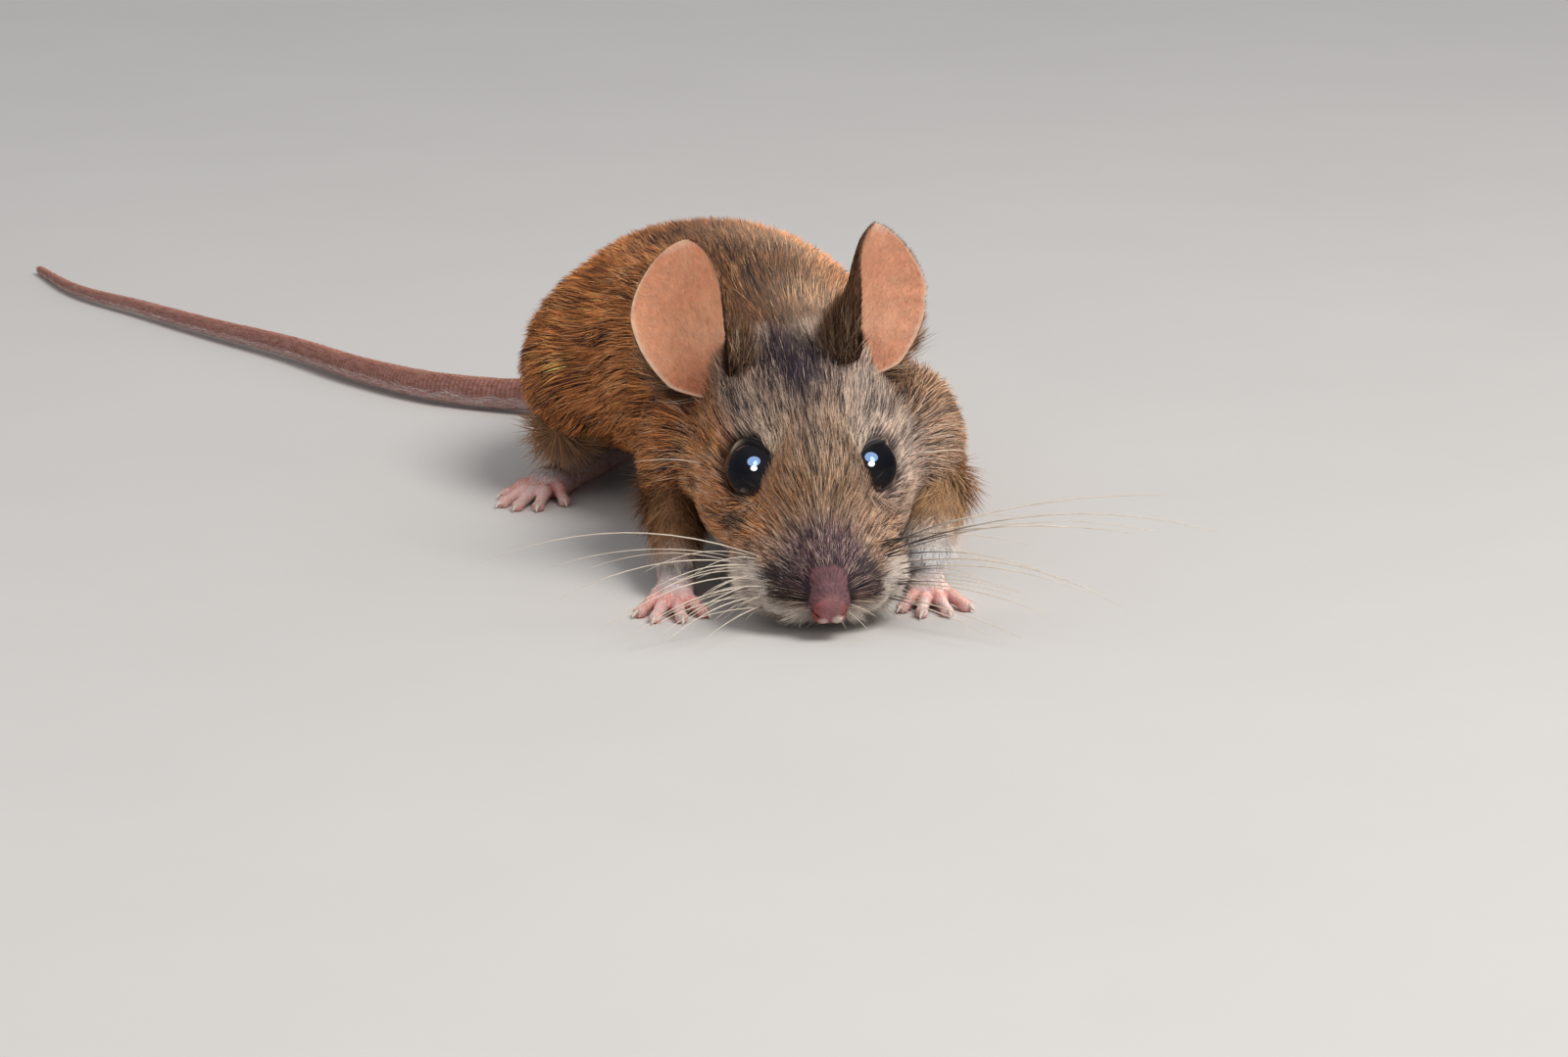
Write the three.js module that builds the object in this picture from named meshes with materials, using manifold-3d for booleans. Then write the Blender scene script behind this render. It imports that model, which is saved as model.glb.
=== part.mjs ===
// A wood mouse at life size, crouching with its head low and its tail laid out behind it.
// Millimetres, +Z up. The mouse faces -Y, so its own left side is +X. The sizes run to the
// tips of the coat. Every paw and the tail lie on small flats at Z = 0.
//
// The body is one smooth field of blobs (ellipsoids and tapered bars that melt together).
// Each named part is that field turned into a mesh and parted from its neighbours by thin
// cuts. Ears, eyes, feet, whiskers and tail are made by themselves and let into the body.

import * as THREE from "three";
import { mergeVertices } from "three/addons/utils/BufferGeometryUtils.js";
import Module from "manifold-3d";

const wasm = await Module();
wasm.setup();

// ---------------------------------------------------------------- driving dimensions

const GAP = 0.3; // left between parts that touch
const REACH = 400; // side of a cutting block, larger than the mouse
const FLOOR = 0;

const HEAD_PITCH = 20; // degrees, nose down
const HEAD_YAW = 8; // degrees, nose turned to the mouse's own left
const EYES_MIDDLE = [-1.4, 10.9, 10.5]; // between the eyeballs; origin of the head's frame
const SNOUT_BEND = { from: -2, slope: 0.02 }; // the snout turns back to the right ahead of here

// Head frame: x to the mouse's left, y back along the skull, z up from it.
const EYE = { radius: 2.35, centre: [4.0, 0.3, -0.2] };

const HEAD_BLOBS = {
  cranium: ball([0, 6.4, -0.8], [7.3, 8.6, 6.6]),
  forehead: ball([0, 0.2, -0.4], [4.7, 5.8, 4.5]),
  snout: bar([0, -1.5, -1.6], 3.6, [0, -10.4, -3.7], 1.9),
  chin: bar([0, -6.6, -6.3], 1.5, [0, 2.5, -5.6], 3.4),
};
const HEAD_PAIRED_BLOBS = {
  cheek: ball([4.3, 3.4, -3.8], [4.2, 6.2, 4.7]),
  lip: ball([3.0, -3.6, -4.6], [3.2, 4.6, 3.2]),
  whisker_pad: ball([2.9, -8.0, -4.4], [2.5, 3.1, 2.4]),
};
const NOSE_BLOB = ball([0, -11.3, -3.9], [1.7, 1.5, 1.55]);
const HEAD_MELT = 1.6; // how widely neighbouring blobs of the head run together
const NOSE_MELT = 0.7;

// Body frame: the floor under the nose is the middle; the spine bends to the mouse's right.
const BODY_BLOBS = {
  neck: bar([-2.2, 19.5, 11.0], 7.0, [-3.4, 28.5, 11.0], 8.2),
  chest: ball([-3.0, 31, 10.2], [10.8, 11.5, 8.8]),
  right_shoulder: ball([-10.8, 24.5, 8.8], [4.6, 6.8, 7.0]),
  left_shoulder: ball([6.4, 25.0, 8.7], [4.7, 6.8, 7.4]),
  loin: ball([-7.6, 43, 12.1], [12.6, 13.5, 10.6]),
  rump: ball([-9.6, 54, 11.2], [14.0, 14.6, 10.4]),
  right_thigh: ball([-20.0, 50, 9.8], [5.7, 10.2, 6.4]),
  left_thigh: ball([-0.6, 51, 9.8], [5.4, 10.2, 6.4]),
  tail_root: bar([-12.2, 64, 8.8], 3.8, [-15.5, 71.5, 4.6], 1.7),
};
const BODY_MELT = 3.2;

const LOWER_LIMBS = {
  forearm_left: bar([8.2, 22.5, 6.6], 2.1, [7.3, 15.8, 2.5], 1.45),
  forearm_right: bar([-11.6, 22.0, 5.6], 2.1, [-11.6, 14.4, 2.5], 1.45),
  shank_left: bar([1.6, 46.4, 5.4], 2.2, [-1.0, 57.0, 3.7], 1.6),
  shank_right: bar([-21.2, 46.0, 5.4], 2.2, [-17.4, 57.0, 3.7], 1.6),
};

// Paws: where the wrist or heel stands, the way the paw points, and its digits.
const FOREPAW = {
  length: 3.2,
  width: 1.75,
  height: 1.5,
  digits: [
    { fan: -34, length: 3.0 },
    { fan: -10, length: 3.9 },
    { fan: 14, length: 3.8 },
    { fan: 42, length: 3.1 },
  ],
  digit_radius: [0.68, 0.5],
};
const HINDPAW = {
  length: 13.0,
  width: 1.9,
  height: 1.75,
  digits: [
    { fan: -40, length: 3.2 },
    { fan: -15, length: 5.2 },
    { fan: 0, length: 5.6 },
    { fan: 15, length: 5.2 },
    { fan: 38, length: 3.6 },
  ],
  digit_radius: [0.72, 0.5],
};
const CLAW = { length: 0.8, radius: 0.25 };
const SOLE_FLATNESS = 0.82;
const PAWS = {
  forefoot_left: { kind: FOREPAW, root: [7.2, 15.4], aim: 2 },
  forefoot_right: { kind: FOREPAW, root: [-11.6, 13.8], aim: -4 },
  hindfoot_left: { kind: HINDPAW, root: [-1.0, 58.4], aim: 14 },
  hindfoot_right: { kind: HINDPAW, root: [-17.2, 58.4], aim: -23 },
};

// Ears, in the head frame: foot of the ear, its tip, and the way its hollow faces.
const EARS = {
  left: { root: [3.0, 10.1, 2.0], tip: [6.9, 14.4, 12.0], facing: [0.86, -0.6, 0.28] },
  right: { root: [-4.3, 10.2, 0.6], tip: [-8.9, 15.4, 10.4], facing: [-0.9, -0.55, 0.3] },
};
const EAR = {
  half_width: 6.3, // along the bend, at the widest
  round_from: 0.62, // share of the length where the rounded top starts
  leaf: [0.14, 0.62, 0.6], // start and stretch of the sine that shapes the sides, and its power
  thickness: 0.75,
  curl_at_root: 112, // degrees from the middle line to the margin
  curl_at_tip: 36,
  backward_bow: 0.9,
  rows: 6,
  columns: 7,
};

// Tail: points of its middle line on the floor, root to tip.
const TAIL_ROUTE = [
  [-14.6, 69.4, 5.8],
  [-18.5, 73.4, 3.0],
  [-25.5, 75.6, 1.7],
  [-33.5, 79.5, 1.5],
  [-40.5, 86.6, 1.4],
  [-48.0, 97.0, 1.3],
  [-56.0, 106.5, 1.1],
  [-63.5, 116.0, 0.95],
  [-71.0, 125.5, 0.75],
  [-76.5, 137.5, 0.45],
];
const TAIL = { root_radius: 1.75, tip_radius: 0.5, sides: 8, steps_per_length: 7, lengths: 4 };

// Whiskers: root on the pad in the head frame, tip in the body frame, and how high they arch.
const WHISKER_RADIUS = 0.26;
const WHISKERS = {
  left: [
    { root: [4.1, -7.2, -3.0], tip: [28.2, 0.5, 8.2], arch: 4.8 },
    { root: [4.2, -6.6, -2.6], tip: [24.4, 3.0, 10.4], arch: 2.4 },
    { root: [4.4, -7.6, -3.8], tip: [21.4, -1.0, 2.8], arch: 4.2 },
    { root: [4.5, -7.4, -4.4], tip: [18.6, 1.0, 3.6], arch: 2.6 },
    { root: [4.4, -8.2, -4.9], tip: [15.8, -2.0, 2.6], arch: 1.8 },
    { root: [4.0, -8.8, -5.5], tip: [11.2, -2.4, 1.3], arch: 0.9 },
  ],
  right: [
    { root: [-4.1, -7.2, -3.0], tip: [-25.6, 2.0, 5.6], arch: 4.6 },
    { root: [-4.3, -7.0, -3.8], tip: [-19.8, 0.0, 3.4], arch: 3.2 },
    { root: [-4.4, -7.6, -4.4], tip: [-17.2, -2.8, 1.3], arch: 3.2 },
    { root: [-4.4, -8.0, -5.0], tip: [-14.6, -2.6, 1.2], arch: 2.4 },
    { root: [-4.2, -8.4, -5.4], tip: [-12.0, -2.8, 1.0], arch: 1.6 },
    { root: [-3.9, -8.9, -5.8], tip: [-9.4, -2.6, 0.9], arch: 0.9 },
  ],
};
const WHISKER_SIDES = 4;
const WHISKER_STEPS = 4;

// Cuts: a point on each and the direction it faces, or the ellipsoid that a part sits in.
// The cuts of the nose, muzzle, jaw and pads are in the head frame.
const NOSE_CUT = { centre: [0, -12.0, -3.7], radii: [1.9, 1.9, 2.1] };
const MUZZLE_CUT = { at: [0, -4.9, -3], facing: [0, -1, 0] };
const JAW_CUT = { at: [0, -7, -6.1], facing: [0, 0.1, -1] };
const PAD_CUT = { centre: [4.6, -8.0, -4.3], radii: [1.9, 2.5, 2.3] };
const NECK_CUT = { at: [-2.2, 20.4, 12], facing: [0.08, -0.95, -0.25] };
const SHOULDER_CUT = { at: [-3.2, 26.6, 11], facing: [0.06, -0.98, -0.1] };
const CHEST_CUT = { at: [-4.8, 36.5, 11], facing: [0.2, -0.98, 0] };
const LOIN_CUT = { at: [-8.2, 46.5, 11], facing: [0.2, -0.98, 0] };
const TAIL_CUT = { at: TAIL_ROUTE[0], facing: [0.5, -0.68, 0.52] };
const ARM_CUTS = {
  left: { centre: [8.2, 23.4, 7.4], radii: [5.0, 6.2, 7.0] },
  right: { centre: [-13.2, 23.0, 7.2], radii: [5.0, 6.4, 7.0] },
};
const THIGH_CUTS = {
  left: { centre: [2.6, 50.4, 7.6], radii: [6.6, 11.2, 9.0] },
  right: { centre: [-22.0, 49.6, 7.6], radii: [6.6, 11.2, 9.0] },
};

// Sizes of the mesh squares, finest where the form is finest.
const SQUARE = { head: 2.1, neck: 3.0, body: 4.0, limb: 3.2, nose: 1.0, ear_seat: 2.6 };
const WELD = 0.1; // corners of a cut nearer than this become one
const CUTTER_SEGMENTS = [11, 6];
const EYE_SEGMENTS = [12, 8];
const LIMB_SIDES = 9;
const SOLE_SIDES = 10;
const DIGIT_SIDES = 6;

const COLOURS = {
  coat: 0x8a6239,
  crown: 0x6e4f35,
  muzzle: 0x7d6755,
  belly: 0xcfc3b0,
  bare_skin: 0xd9a9a0,
  nose: 0xa87278,
  ear: 0xc98a63,
  eye: 0x0b0a0c,
  tail: 0x8f6562,
  whisker: 0x8d8378,
};

// ---------------------------------------------------------------- blobs and their field

function ball(centre, radii) {
  return { centre, radii };
}

function bar(from, from_radius, to, to_radius) {
  return { from, from_radius, to, to_radius };
}

function mirrored(blob) {
  const flip = ([x, y, z]) => [-x, y, z];
  return { ...blob, centre: flip(blob.centre) };
}

function distanceToBall({ centre, radii }, x, y, z) {
  const dx = x - centre[0];
  const dy = y - centre[1];
  const dz = z - centre[2];
  const near = Math.hypot(dx / radii[0], dy / radii[1], dz / radii[2]);
  const slope = Math.hypot(dx / radii[0] ** 2, dy / radii[1] ** 2, dz / radii[2] ** 2);
  return slope < 1e-9 ? -Math.min(...radii) : (near * (near - 1)) / slope;
}

function distanceToBar({ from, from_radius, to, to_radius }, x, y, z) {
  // Distance to the skin of the rolling ball that shrinks from one end to the other.
  const axis = [to[0] - from[0], to[1] - from[1], to[2] - from[2]];
  const length = Math.hypot(...axis);
  const rel = [x - from[0], y - from[1], z - from[2]];
  const along = (rel[0] * axis[0] + rel[1] * axis[1] + rel[2] * axis[2]) / length;
  const across = Math.sqrt(Math.max(0, rel[0] ** 2 + rel[1] ** 2 + rel[2] ** 2 - along ** 2));
  const taper = (from_radius - to_radius) / length;
  const slant = Math.sqrt(1 - taper ** 2);
  const foot = along * slant - across * taper;
  if (foot < 0) return Math.hypot(along, across) - from_radius;
  if (foot > length * slant) return Math.hypot(along - length, across) - to_radius;
  return across * slant + along * taper - from_radius;
}

function distanceTo(blob, x, y, z) {
  return blob.radii ? distanceToBall(blob, x, y, z) : distanceToBar(blob, x, y, z);
}

function melt(a, b, width) {
  // The smaller of two distances, rounded off where they are alike.
  const mix = Math.max(0, width - Math.abs(a - b)) / width;
  return Math.min(a, b) - (mix * mix * width) / 4;
}

function meltedField(blobs, width) {
  return (x, y, z) => {
    let nearest = Infinity;
    for (const blob of blobs) {
      const distance = distanceTo(blob, x, y, z);
      nearest = nearest === Infinity ? distance : melt(nearest, distance, width);
    }
    return nearest;
  };
}

const headToBody = new THREE.Matrix4()
  .makeRotationFromEuler(
    new THREE.Euler(
      THREE.MathUtils.degToRad(HEAD_PITCH),
      0,
      THREE.MathUtils.degToRad(HEAD_YAW),
      "ZYX",
    ),
  )
  .setPosition(...EYES_MIDDLE);
const bodyToHead = headToBody.clone().invert();

function snoutShift(y) {
  return SNOUT_BEND.slope * Math.max(0, SNOUT_BEND.from - y);
}

function bent([x, y, z]) {
  return [x - snoutShift(y), y, z];
}

function fromHead(point) {
  return new THREE.Vector3(...bent(point)).applyMatrix4(headToBody);
}

const headOnly = meltedField(
  [
    ...Object.values(HEAD_BLOBS),
    ...Object.values(HEAD_PAIRED_BLOBS).flatMap((blob) => [blob, mirrored(blob)]),
  ],
  HEAD_MELT,
);
const bodyOnly = meltedField(Object.values(BODY_BLOBS), BODY_MELT);

function headField(x, y, z) {
  const e = bodyToHead.elements;
  const hx = e[0] * x + e[4] * y + e[8] * z + e[12];
  const hy = e[1] * x + e[5] * y + e[9] * z + e[13];
  const hz = e[2] * x + e[6] * y + e[10] * z + e[14];
  const straight = hx + snoutShift(hy);
  return melt(headOnly(straight, hy, hz), distanceTo(NOSE_BLOB, straight, hy, hz), NOSE_MELT);
}

function wholeField(x, y, z) {
  return melt(headField(x, y, z), bodyOnly(x, y, z), BODY_MELT);
}

// ---------------------------------------------------------------- fields and shapes as solids

function slopeOf(field, point, step = 0.05) {
  const [x, y, z] = point;
  return [
    (field(x + step, y, z) - field(x - step, y, z)) / (2 * step),
    (field(x, y + step, z) - field(x, y - step, z)) / (2 * step),
    (field(x, y, z + step) - field(x, y, z - step)) / (2 * step),
  ];
}

function fieldGeometry(field, low, high, square) {
  // A net over the field's zero level: one point in each grid cell that the level crosses,
  // moved onto the level, and one face around each grid edge that it crosses. The grid's
  // outer layer counts as outside, which closes a form that runs out of the box.
  const count = low.map((edge, axis) => Math.ceil((high[axis] - edge) / square) + 1);
  const index = (i, j, k) => i + count[0] * (j + count[1] * k);
  const value = new Float64Array(count[0] * count[1] * count[2]);
  for (let k = 0; k < count[2]; k += 1) {
    for (let j = 0; j < count[1]; j += 1) {
      for (let i = 0; i < count[0]; i += 1) {
        const here = [i, j, k].map((cell, t) => low[t] + cell * square);
        const onEdge = [i, j, k].some((cell, t) => cell === 0 || cell === count[t] - 1);
        value[index(i, j, k)] = onEdge ? square : field(...here);
      }
    }
  }
  const positions = [];
  const pointOfCell = new Map();
  for (let k = 0; k + 1 < count[2]; k += 1) {
    for (let j = 0; j + 1 < count[1]; j += 1) {
      for (let i = 0; i + 1 < count[0]; i += 1) {
        const point = pointInCell(field, value, index, [i, j, k], low, square);
        if (point) {
          pointOfCell.set(index(i, j, k), positions.length / 3);
          positions.push(...point);
        }
      }
    }
  }
  const faces = [];
  const steps = [index(1, 0, 0), index(0, 1, 0), index(0, 0, 1)];
  for (let k = 0; k + 1 < count[2]; k += 1) {
    for (let j = 0; j + 1 < count[1]; j += 1) {
      for (let i = 0; i + 1 < count[0]; i += 1) {
        const cell = [i, j, k];
        const here = index(i, j, k);
        for (let axis = 0; axis < 3; axis += 1) {
          const inside = value[here] < 0;
          if (inside === value[here + steps[axis]] < 0) continue;
          if (cell[(axis + 1) % 3] === 0 || cell[(axis + 2) % 3] === 0) continue;
          const u = steps[(axis + 1) % 3];
          const v = steps[(axis + 2) % 3];
          const ring = [here - u - v, here - v, here, here - u].map((c) => pointOfCell.get(c));
          if (!inside) ring.reverse();
          faces.push(...splitSquare(positions, ring));
        }
      }
    }
  }
  const geometry = new THREE.BufferGeometry();
  geometry.setAttribute("position", new THREE.Float32BufferAttribute(positions, 3));
  geometry.setIndex(faces);
  return geometry;
}

function pointInCell(field, value, index, [i, j, k], low, square) {
  let crossings = 0;
  const sum = [0, 0, 0];
  const corner = (a, b, c) => value[index(i + a, j + b, k + c)];
  for (let axis = 0; axis < 3; axis += 1) {
    for (const [p, q] of [[0, 0], [1, 0], [0, 1], [1, 1]]) {
      const start = [0, 0, 0];
      start[(axis + 1) % 3] = p;
      start[(axis + 2) % 3] = q;
      const end = [...start];
      end[axis] = 1;
      const a = corner(...start);
      const b = corner(...end);
      if (a < 0 === b < 0) continue;
      const share = a / (a - b);
      crossings += 1;
      for (let t = 0; t < 3; t += 1) sum[t] += start[t] + share * (end[t] - start[t]);
    }
  }
  if (crossings === 0) return null;
  let point = [i, j, k].map((cell, t) => low[t] + (cell + sum[t] / crossings) * square);
  for (let pass = 0; pass < 2; pass += 1) {
    const slope = slopeOf(field, point);
    const size = slope[0] ** 2 + slope[1] ** 2 + slope[2] ** 2;
    const move = field(...point) / Math.max(size, 0.25);
    const most = 0.3 * square;
    point = point.map((p, t) => p - THREE.MathUtils.clamp(move * slope[t], -most, most));
  }
  return point;
}

function splitSquare(positions, [a, b, c, d]) {
  // Two triangles along the shorter diagonal.
  const gap = (p, q) =>
    Math.hypot(...[0, 1, 2].map((t) => positions[3 * p + t] - positions[3 * q + t]));
  return gap(a, c) <= gap(b, d) ? [a, b, c, a, c, d] : [b, c, d, b, d, a];
}

function solidOf(geometry) {
  const bare = geometry.clone();
  bare.deleteAttribute("normal");
  bare.deleteAttribute("uv");
  const merged = mergeVertices(bare, 1e-4);
  const mesh = new wasm.Mesh({
    numProp: 3,
    vertProperties: new Float32Array(merged.attributes.position.array),
    triVerts: new Uint32Array(merged.index.array),
  });
  return new wasm.Manifold(mesh);
}

function fieldSolid(field, low, high, square) {
  return solidOf(fieldGeometry(field, low, high, square));
}

function side(cut, sense = 1, frame = null) {
  // Everything on one side of a cut, starting half a gap away from it.
  const facing = new THREE.Vector3(...cut.facing).normalize().multiplyScalar(sense);
  const at = new THREE.Vector3(...cut.at);
  if (frame) {
    facing.transformDirection(frame);
    at.applyMatrix4(frame);
  }
  const up = new THREE.Vector3(0, 0, 1);
  const block = new THREE.BoxGeometry(REACH, REACH, REACH)
    .translate(0, 0, REACH / 2 + GAP / 2)
    .applyQuaternion(new THREE.Quaternion().setFromUnitVectors(up, facing))
    .translate(at.x, at.y, at.z);
  return solidOf(block);
}

const inFront = (cut, frame) => side(cut, 1, frame);
const behind = (cut, frame) => side(cut, -1, frame);

function rounded({ centre, radii }, grow, frame = null) {
  // An ellipsoid that cuts a limb's place out of the body.
  const geometry = new THREE.SphereGeometry(1, ...CUTTER_SEGMENTS).scale(
    radii[0] + grow,
    radii[1] + grow,
    radii[2] + grow,
  );
  if (!frame) return solidOf(geometry.translate(...centre));
  return solidOf(geometry.translate(...bent(centre)).applyMatrix4(frame));
}

function largestPiece(solid) {
  const pieces = solid.decompose();
  return pieces.reduce((best, piece) => (piece.volume() > best.volume() ? piece : best));
}

// ---------------------------------------------------------------- body parts from the field

const headMiddle = fromHead([0, -2, -1]).toArray();
const headSolid = fieldSolid(
  wholeField,
  headMiddle.map((c, t) => c - [14, 16, 14][t]),
  headMiddle.map((c) => c + 19),
  SQUARE.head,
);
const neckSolid = fieldSolid(wholeField, [-22, 13, -2], [18, 34, 28], SQUARE.neck);
const bodySolid = fieldSolid(wholeField, [-32, 20, -4], [16, 80, 30], SQUARE.body);
const limbSolids = {
  left: fieldSolid(wholeField, [-6, 8, -3], [18, 70, 24], SQUARE.limb),
  right: fieldSolid(wholeField, [-32, 8, -3], [-4, 70, 24], SQUARE.limb),
};

// ---------------------------------------------------------------- paws

function taperedTube(points, radii, sides) {
  // A closed tube through the points with its own radius at each, and pointed caps.
  const positions = [];
  const faces = [];
  points.forEach((point, row) => {
    const before = points[Math.max(0, row - 1)];
    const after = points[Math.min(points.length - 1, row + 1)];
    const along = after.clone().sub(before).normalize();
    const across = new THREE.Vector3(0, 0, 1).cross(along).normalize();
    const up = along.clone().cross(across);
    for (let s = 0; s < sides; s += 1) {
      const turn = (2 * Math.PI * (s + 0.5)) / sides;
      const spoke = across.clone().multiplyScalar(Math.cos(turn));
      spoke.addScaledVector(up, Math.sin(turn)).multiplyScalar(radii[row]);
      positions.push(...point.clone().add(spoke).toArray());
    }
  });
  for (let row = 0; row + 1 < points.length; row += 1) {
    for (let s = 0; s < sides; s += 1) {
      const a = row * sides + s;
      const b = row * sides + ((s + 1) % sides);
      faces.push(a, b, b + sides, a, b + sides, a + sides);
    }
  }
  const last = (points.length - 1) * sides;
  for (let s = 1; s + 1 < sides; s += 1) {
    faces.push(0, s + 1, s);
    faces.push(last, last + s, last + s + 1);
  }
  const geometry = new THREE.BufferGeometry();
  geometry.setAttribute("position", new THREE.Float32BufferAttribute(positions, 3));
  geometry.setIndex(faces);
  return geometry;
}

const belowFloor = solidOf(
  new THREE.BoxGeometry(REACH, REACH, REACH).translate(0, 0, FLOOR - REACH / 2),
);

function pawSolid({ kind, root, aim }, grow = 0) {
  // Sole, digits and claws, cut flat where they rest on the floor.
  const heading = THREE.MathUtils.degToRad(aim);
  const ahead = new THREE.Vector3(Math.sin(heading), -Math.cos(heading), 0);
  const heel = new THREE.Vector3(root[0], root[1], kind.height * 0.8);
  const ballOfFoot = heel.clone().addScaledVector(ahead, kind.length);
  ballOfFoot.z = kind.height * 0.6;
  const alongSole = (share) => heel.clone().lerp(ballOfFoot, share);
  const sole = taperedTube(
    [
      heel.clone().addScaledVector(ahead, -kind.height - grow),
      heel.clone().addScaledVector(ahead, -kind.height * 0.5 - grow),
      alongSole(0.5),
      ballOfFoot,
      ballOfFoot.clone().addScaledVector(ahead, kind.width * 0.9 + grow),
    ],
    [0.5, 0.95, 0.97, 1.05, 0.6].map((share) => share * kind.width + grow),
    SOLE_SIDES,
  ).scale(1, 1, SOLE_FLATNESS);
  let paw = solidOf(sole);
  const flat = (point, z) => new THREE.Vector3(point.x, point.y, z);
  for (const digit of kind.digits) {
    const turn = THREE.MathUtils.degToRad(aim + digit.fan);
    const way = new THREE.Vector3(Math.sin(turn), -Math.cos(turn), 0);
    const [thick, thin] = kind.digit_radius.map((radius) => radius + grow);
    const along = (share) => ballOfFoot.clone().addScaledVector(way, kind.width * 0.5 + share);
    const knuckle = flat(along(0), thick * 1.5);
    const middle = flat(along(digit.length * 0.55), thick * 1.2);
    const end = flat(along(digit.length), thin * 0.85);
    const claw = flat(along(digit.length + CLAW.length), CLAW.radius);
    const girths = [thick, thick * 0.85, thin * 0.8, CLAW.radius + grow];
    paw = paw.add(solidOf(taperedTube([knuckle, middle, end, claw], girths, DIGIT_SIDES)));
  }
  return paw.subtract(belowFloor);
}

function lowerLimb(name, grow = 0) {
  const { from, from_radius, to, to_radius } = LOWER_LIMBS[name];
  const upper = new THREE.Vector3(...from);
  const lower = new THREE.Vector3(...to);
  const reach = lower.clone().sub(upper).normalize();
  const points = [
    upper.clone().addScaledVector(reach, -from_radius * 0.8 - grow),
    upper,
    lower,
    lower.clone().addScaledVector(reach, to_radius * 0.7 + grow),
  ];
  const girths = [from_radius * 0.55, from_radius, to_radius, to_radius * 0.6];
  return solidOf(taperedTube(points, girths.map((girth) => girth + grow), LIMB_SIDES));
}

const paws = {};
const pawRooms = {};
for (const [name, paw] of Object.entries(PAWS)) {
  paws[name] = pawSolid(paw);
  pawRooms[name] = pawSolid(paw, GAP);
}
const allPawRooms = Object.values(pawRooms).reduce((a, b) => a.add(b));

// ---------------------------------------------------------------- ears

function earGeometry({ root, tip, facing }, grow = 0) {
  // A bent leaf: each row is an arc whose hollow faces `facing`, closed to a thin shell.
  const start = new THREE.Vector3(...root);
  const rise = new THREE.Vector3(...tip).sub(start);
  const up = rise.clone().normalize();
  const forward = new THREE.Vector3(...facing);
  forward.addScaledVector(up, -forward.dot(up)).normalize();
  const across = up.clone().cross(forward);
  const { rows, columns } = EAR;
  const middle = (s, u) => {
    const top = Math.max(0, s - EAR.round_from) / (1.01 - EAR.round_from);
    const [leaf_start, leaf_stretch, leaf_power] = EAR.leaf;
    const leaf = Math.sin(Math.PI * (leaf_start + leaf_stretch * s)) ** leaf_power;
    const half = EAR.half_width * leaf * Math.sqrt(1 - top * top);
    const curl = THREE.MathUtils.degToRad(
      THREE.MathUtils.lerp(EAR.curl_at_root, EAR.curl_at_tip, s ** 0.6),
    );
    const radius = half / curl;
    const point = start.clone().addScaledVector(rise, s);
    point.addScaledVector(across, radius * Math.sin(curl * u));
    point.addScaledVector(forward, radius * (1 - Math.cos(curl * u)) - EAR.backward_bow * s * s);
    return point;
  };
  const facingOut = (s, u) => {
    const du = middle(s, u + 0.01).sub(middle(s, u - 0.01));
    const ds = middle(Math.min(s + 0.01, 1), u).sub(middle(Math.max(s - 0.01, 0), u));
    return du.cross(ds).normalize();
  };
  const positions = [];
  for (const face of [-0.5, 0.5]) {
    for (let r = 0; r <= rows; r += 1) {
      for (let c = 0; c <= columns; c += 1) {
        const s = 1 - (1 - r / rows) ** 1.3;
        const u = (2 * c) / columns - 1;
        const off = facingOut(s, u).multiplyScalar(face * (EAR.thickness + 2 * grow));
        positions.push(...middle(s, u).add(off).toArray());
      }
    }
  }
  const sheet = (rows + 1) * (columns + 1);
  const at = (face, r, c) => face * sheet + r * (columns + 1) + c;
  const faces = [];
  const square = (a, b, c, d) => faces.push(a, b, c, a, c, d);
  for (let r = 0; r < rows; r += 1) {
    for (let c = 0; c < columns; c += 1) {
      square(at(1, r, c), at(1, r, c + 1), at(1, r + 1, c + 1), at(1, r + 1, c));
      square(at(0, r, c), at(0, r + 1, c), at(0, r + 1, c + 1), at(0, r, c + 1));
    }
    square(at(0, r, 0), at(1, r, 0), at(1, r + 1, 0), at(0, r + 1, 0));
    square(at(1, r, columns), at(0, r, columns), at(0, r + 1, columns), at(1, r + 1, columns));
  }
  for (let c = 0; c < columns; c += 1) {
    square(at(1, 0, c), at(0, 0, c), at(0, 0, c + 1), at(1, 0, c + 1));
    square(at(0, rows, c), at(1, rows, c), at(1, rows, c + 1), at(0, rows, c + 1));
  }
  const geometry = new THREE.BufferGeometry();
  geometry.setAttribute("position", new THREE.Float32BufferAttribute(positions, 3));
  geometry.setIndex(faces);
  return geometry.applyMatrix4(headToBody);
}

const earSeat = fieldSolid(
  (x, y, z) => wholeField(x, y, z) - GAP,
  [-14, 12, 4],
  [12, 30, 24],
  SQUARE.ear_seat,
);
const ears = {};
for (const [name, ear] of Object.entries(EARS)) {
  const leaf = solidOf(earGeometry(ear));
  ears[name] = largestPiece(leaf.subtract(earSeat));
}

// ---------------------------------------------------------------- eyes

function eyeSolid(name, grow = 0) {
  const [x, y, z] = EYE.centre;
  const centre = fromHead([name === "left" ? x : -x, y, z]);
  const geometry = new THREE.SphereGeometry(EYE.radius + grow, ...EYE_SEGMENTS);
  return solidOf(geometry.translate(centre.x, centre.y, centre.z));
}

// ---------------------------------------------------------------- whiskers

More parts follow.
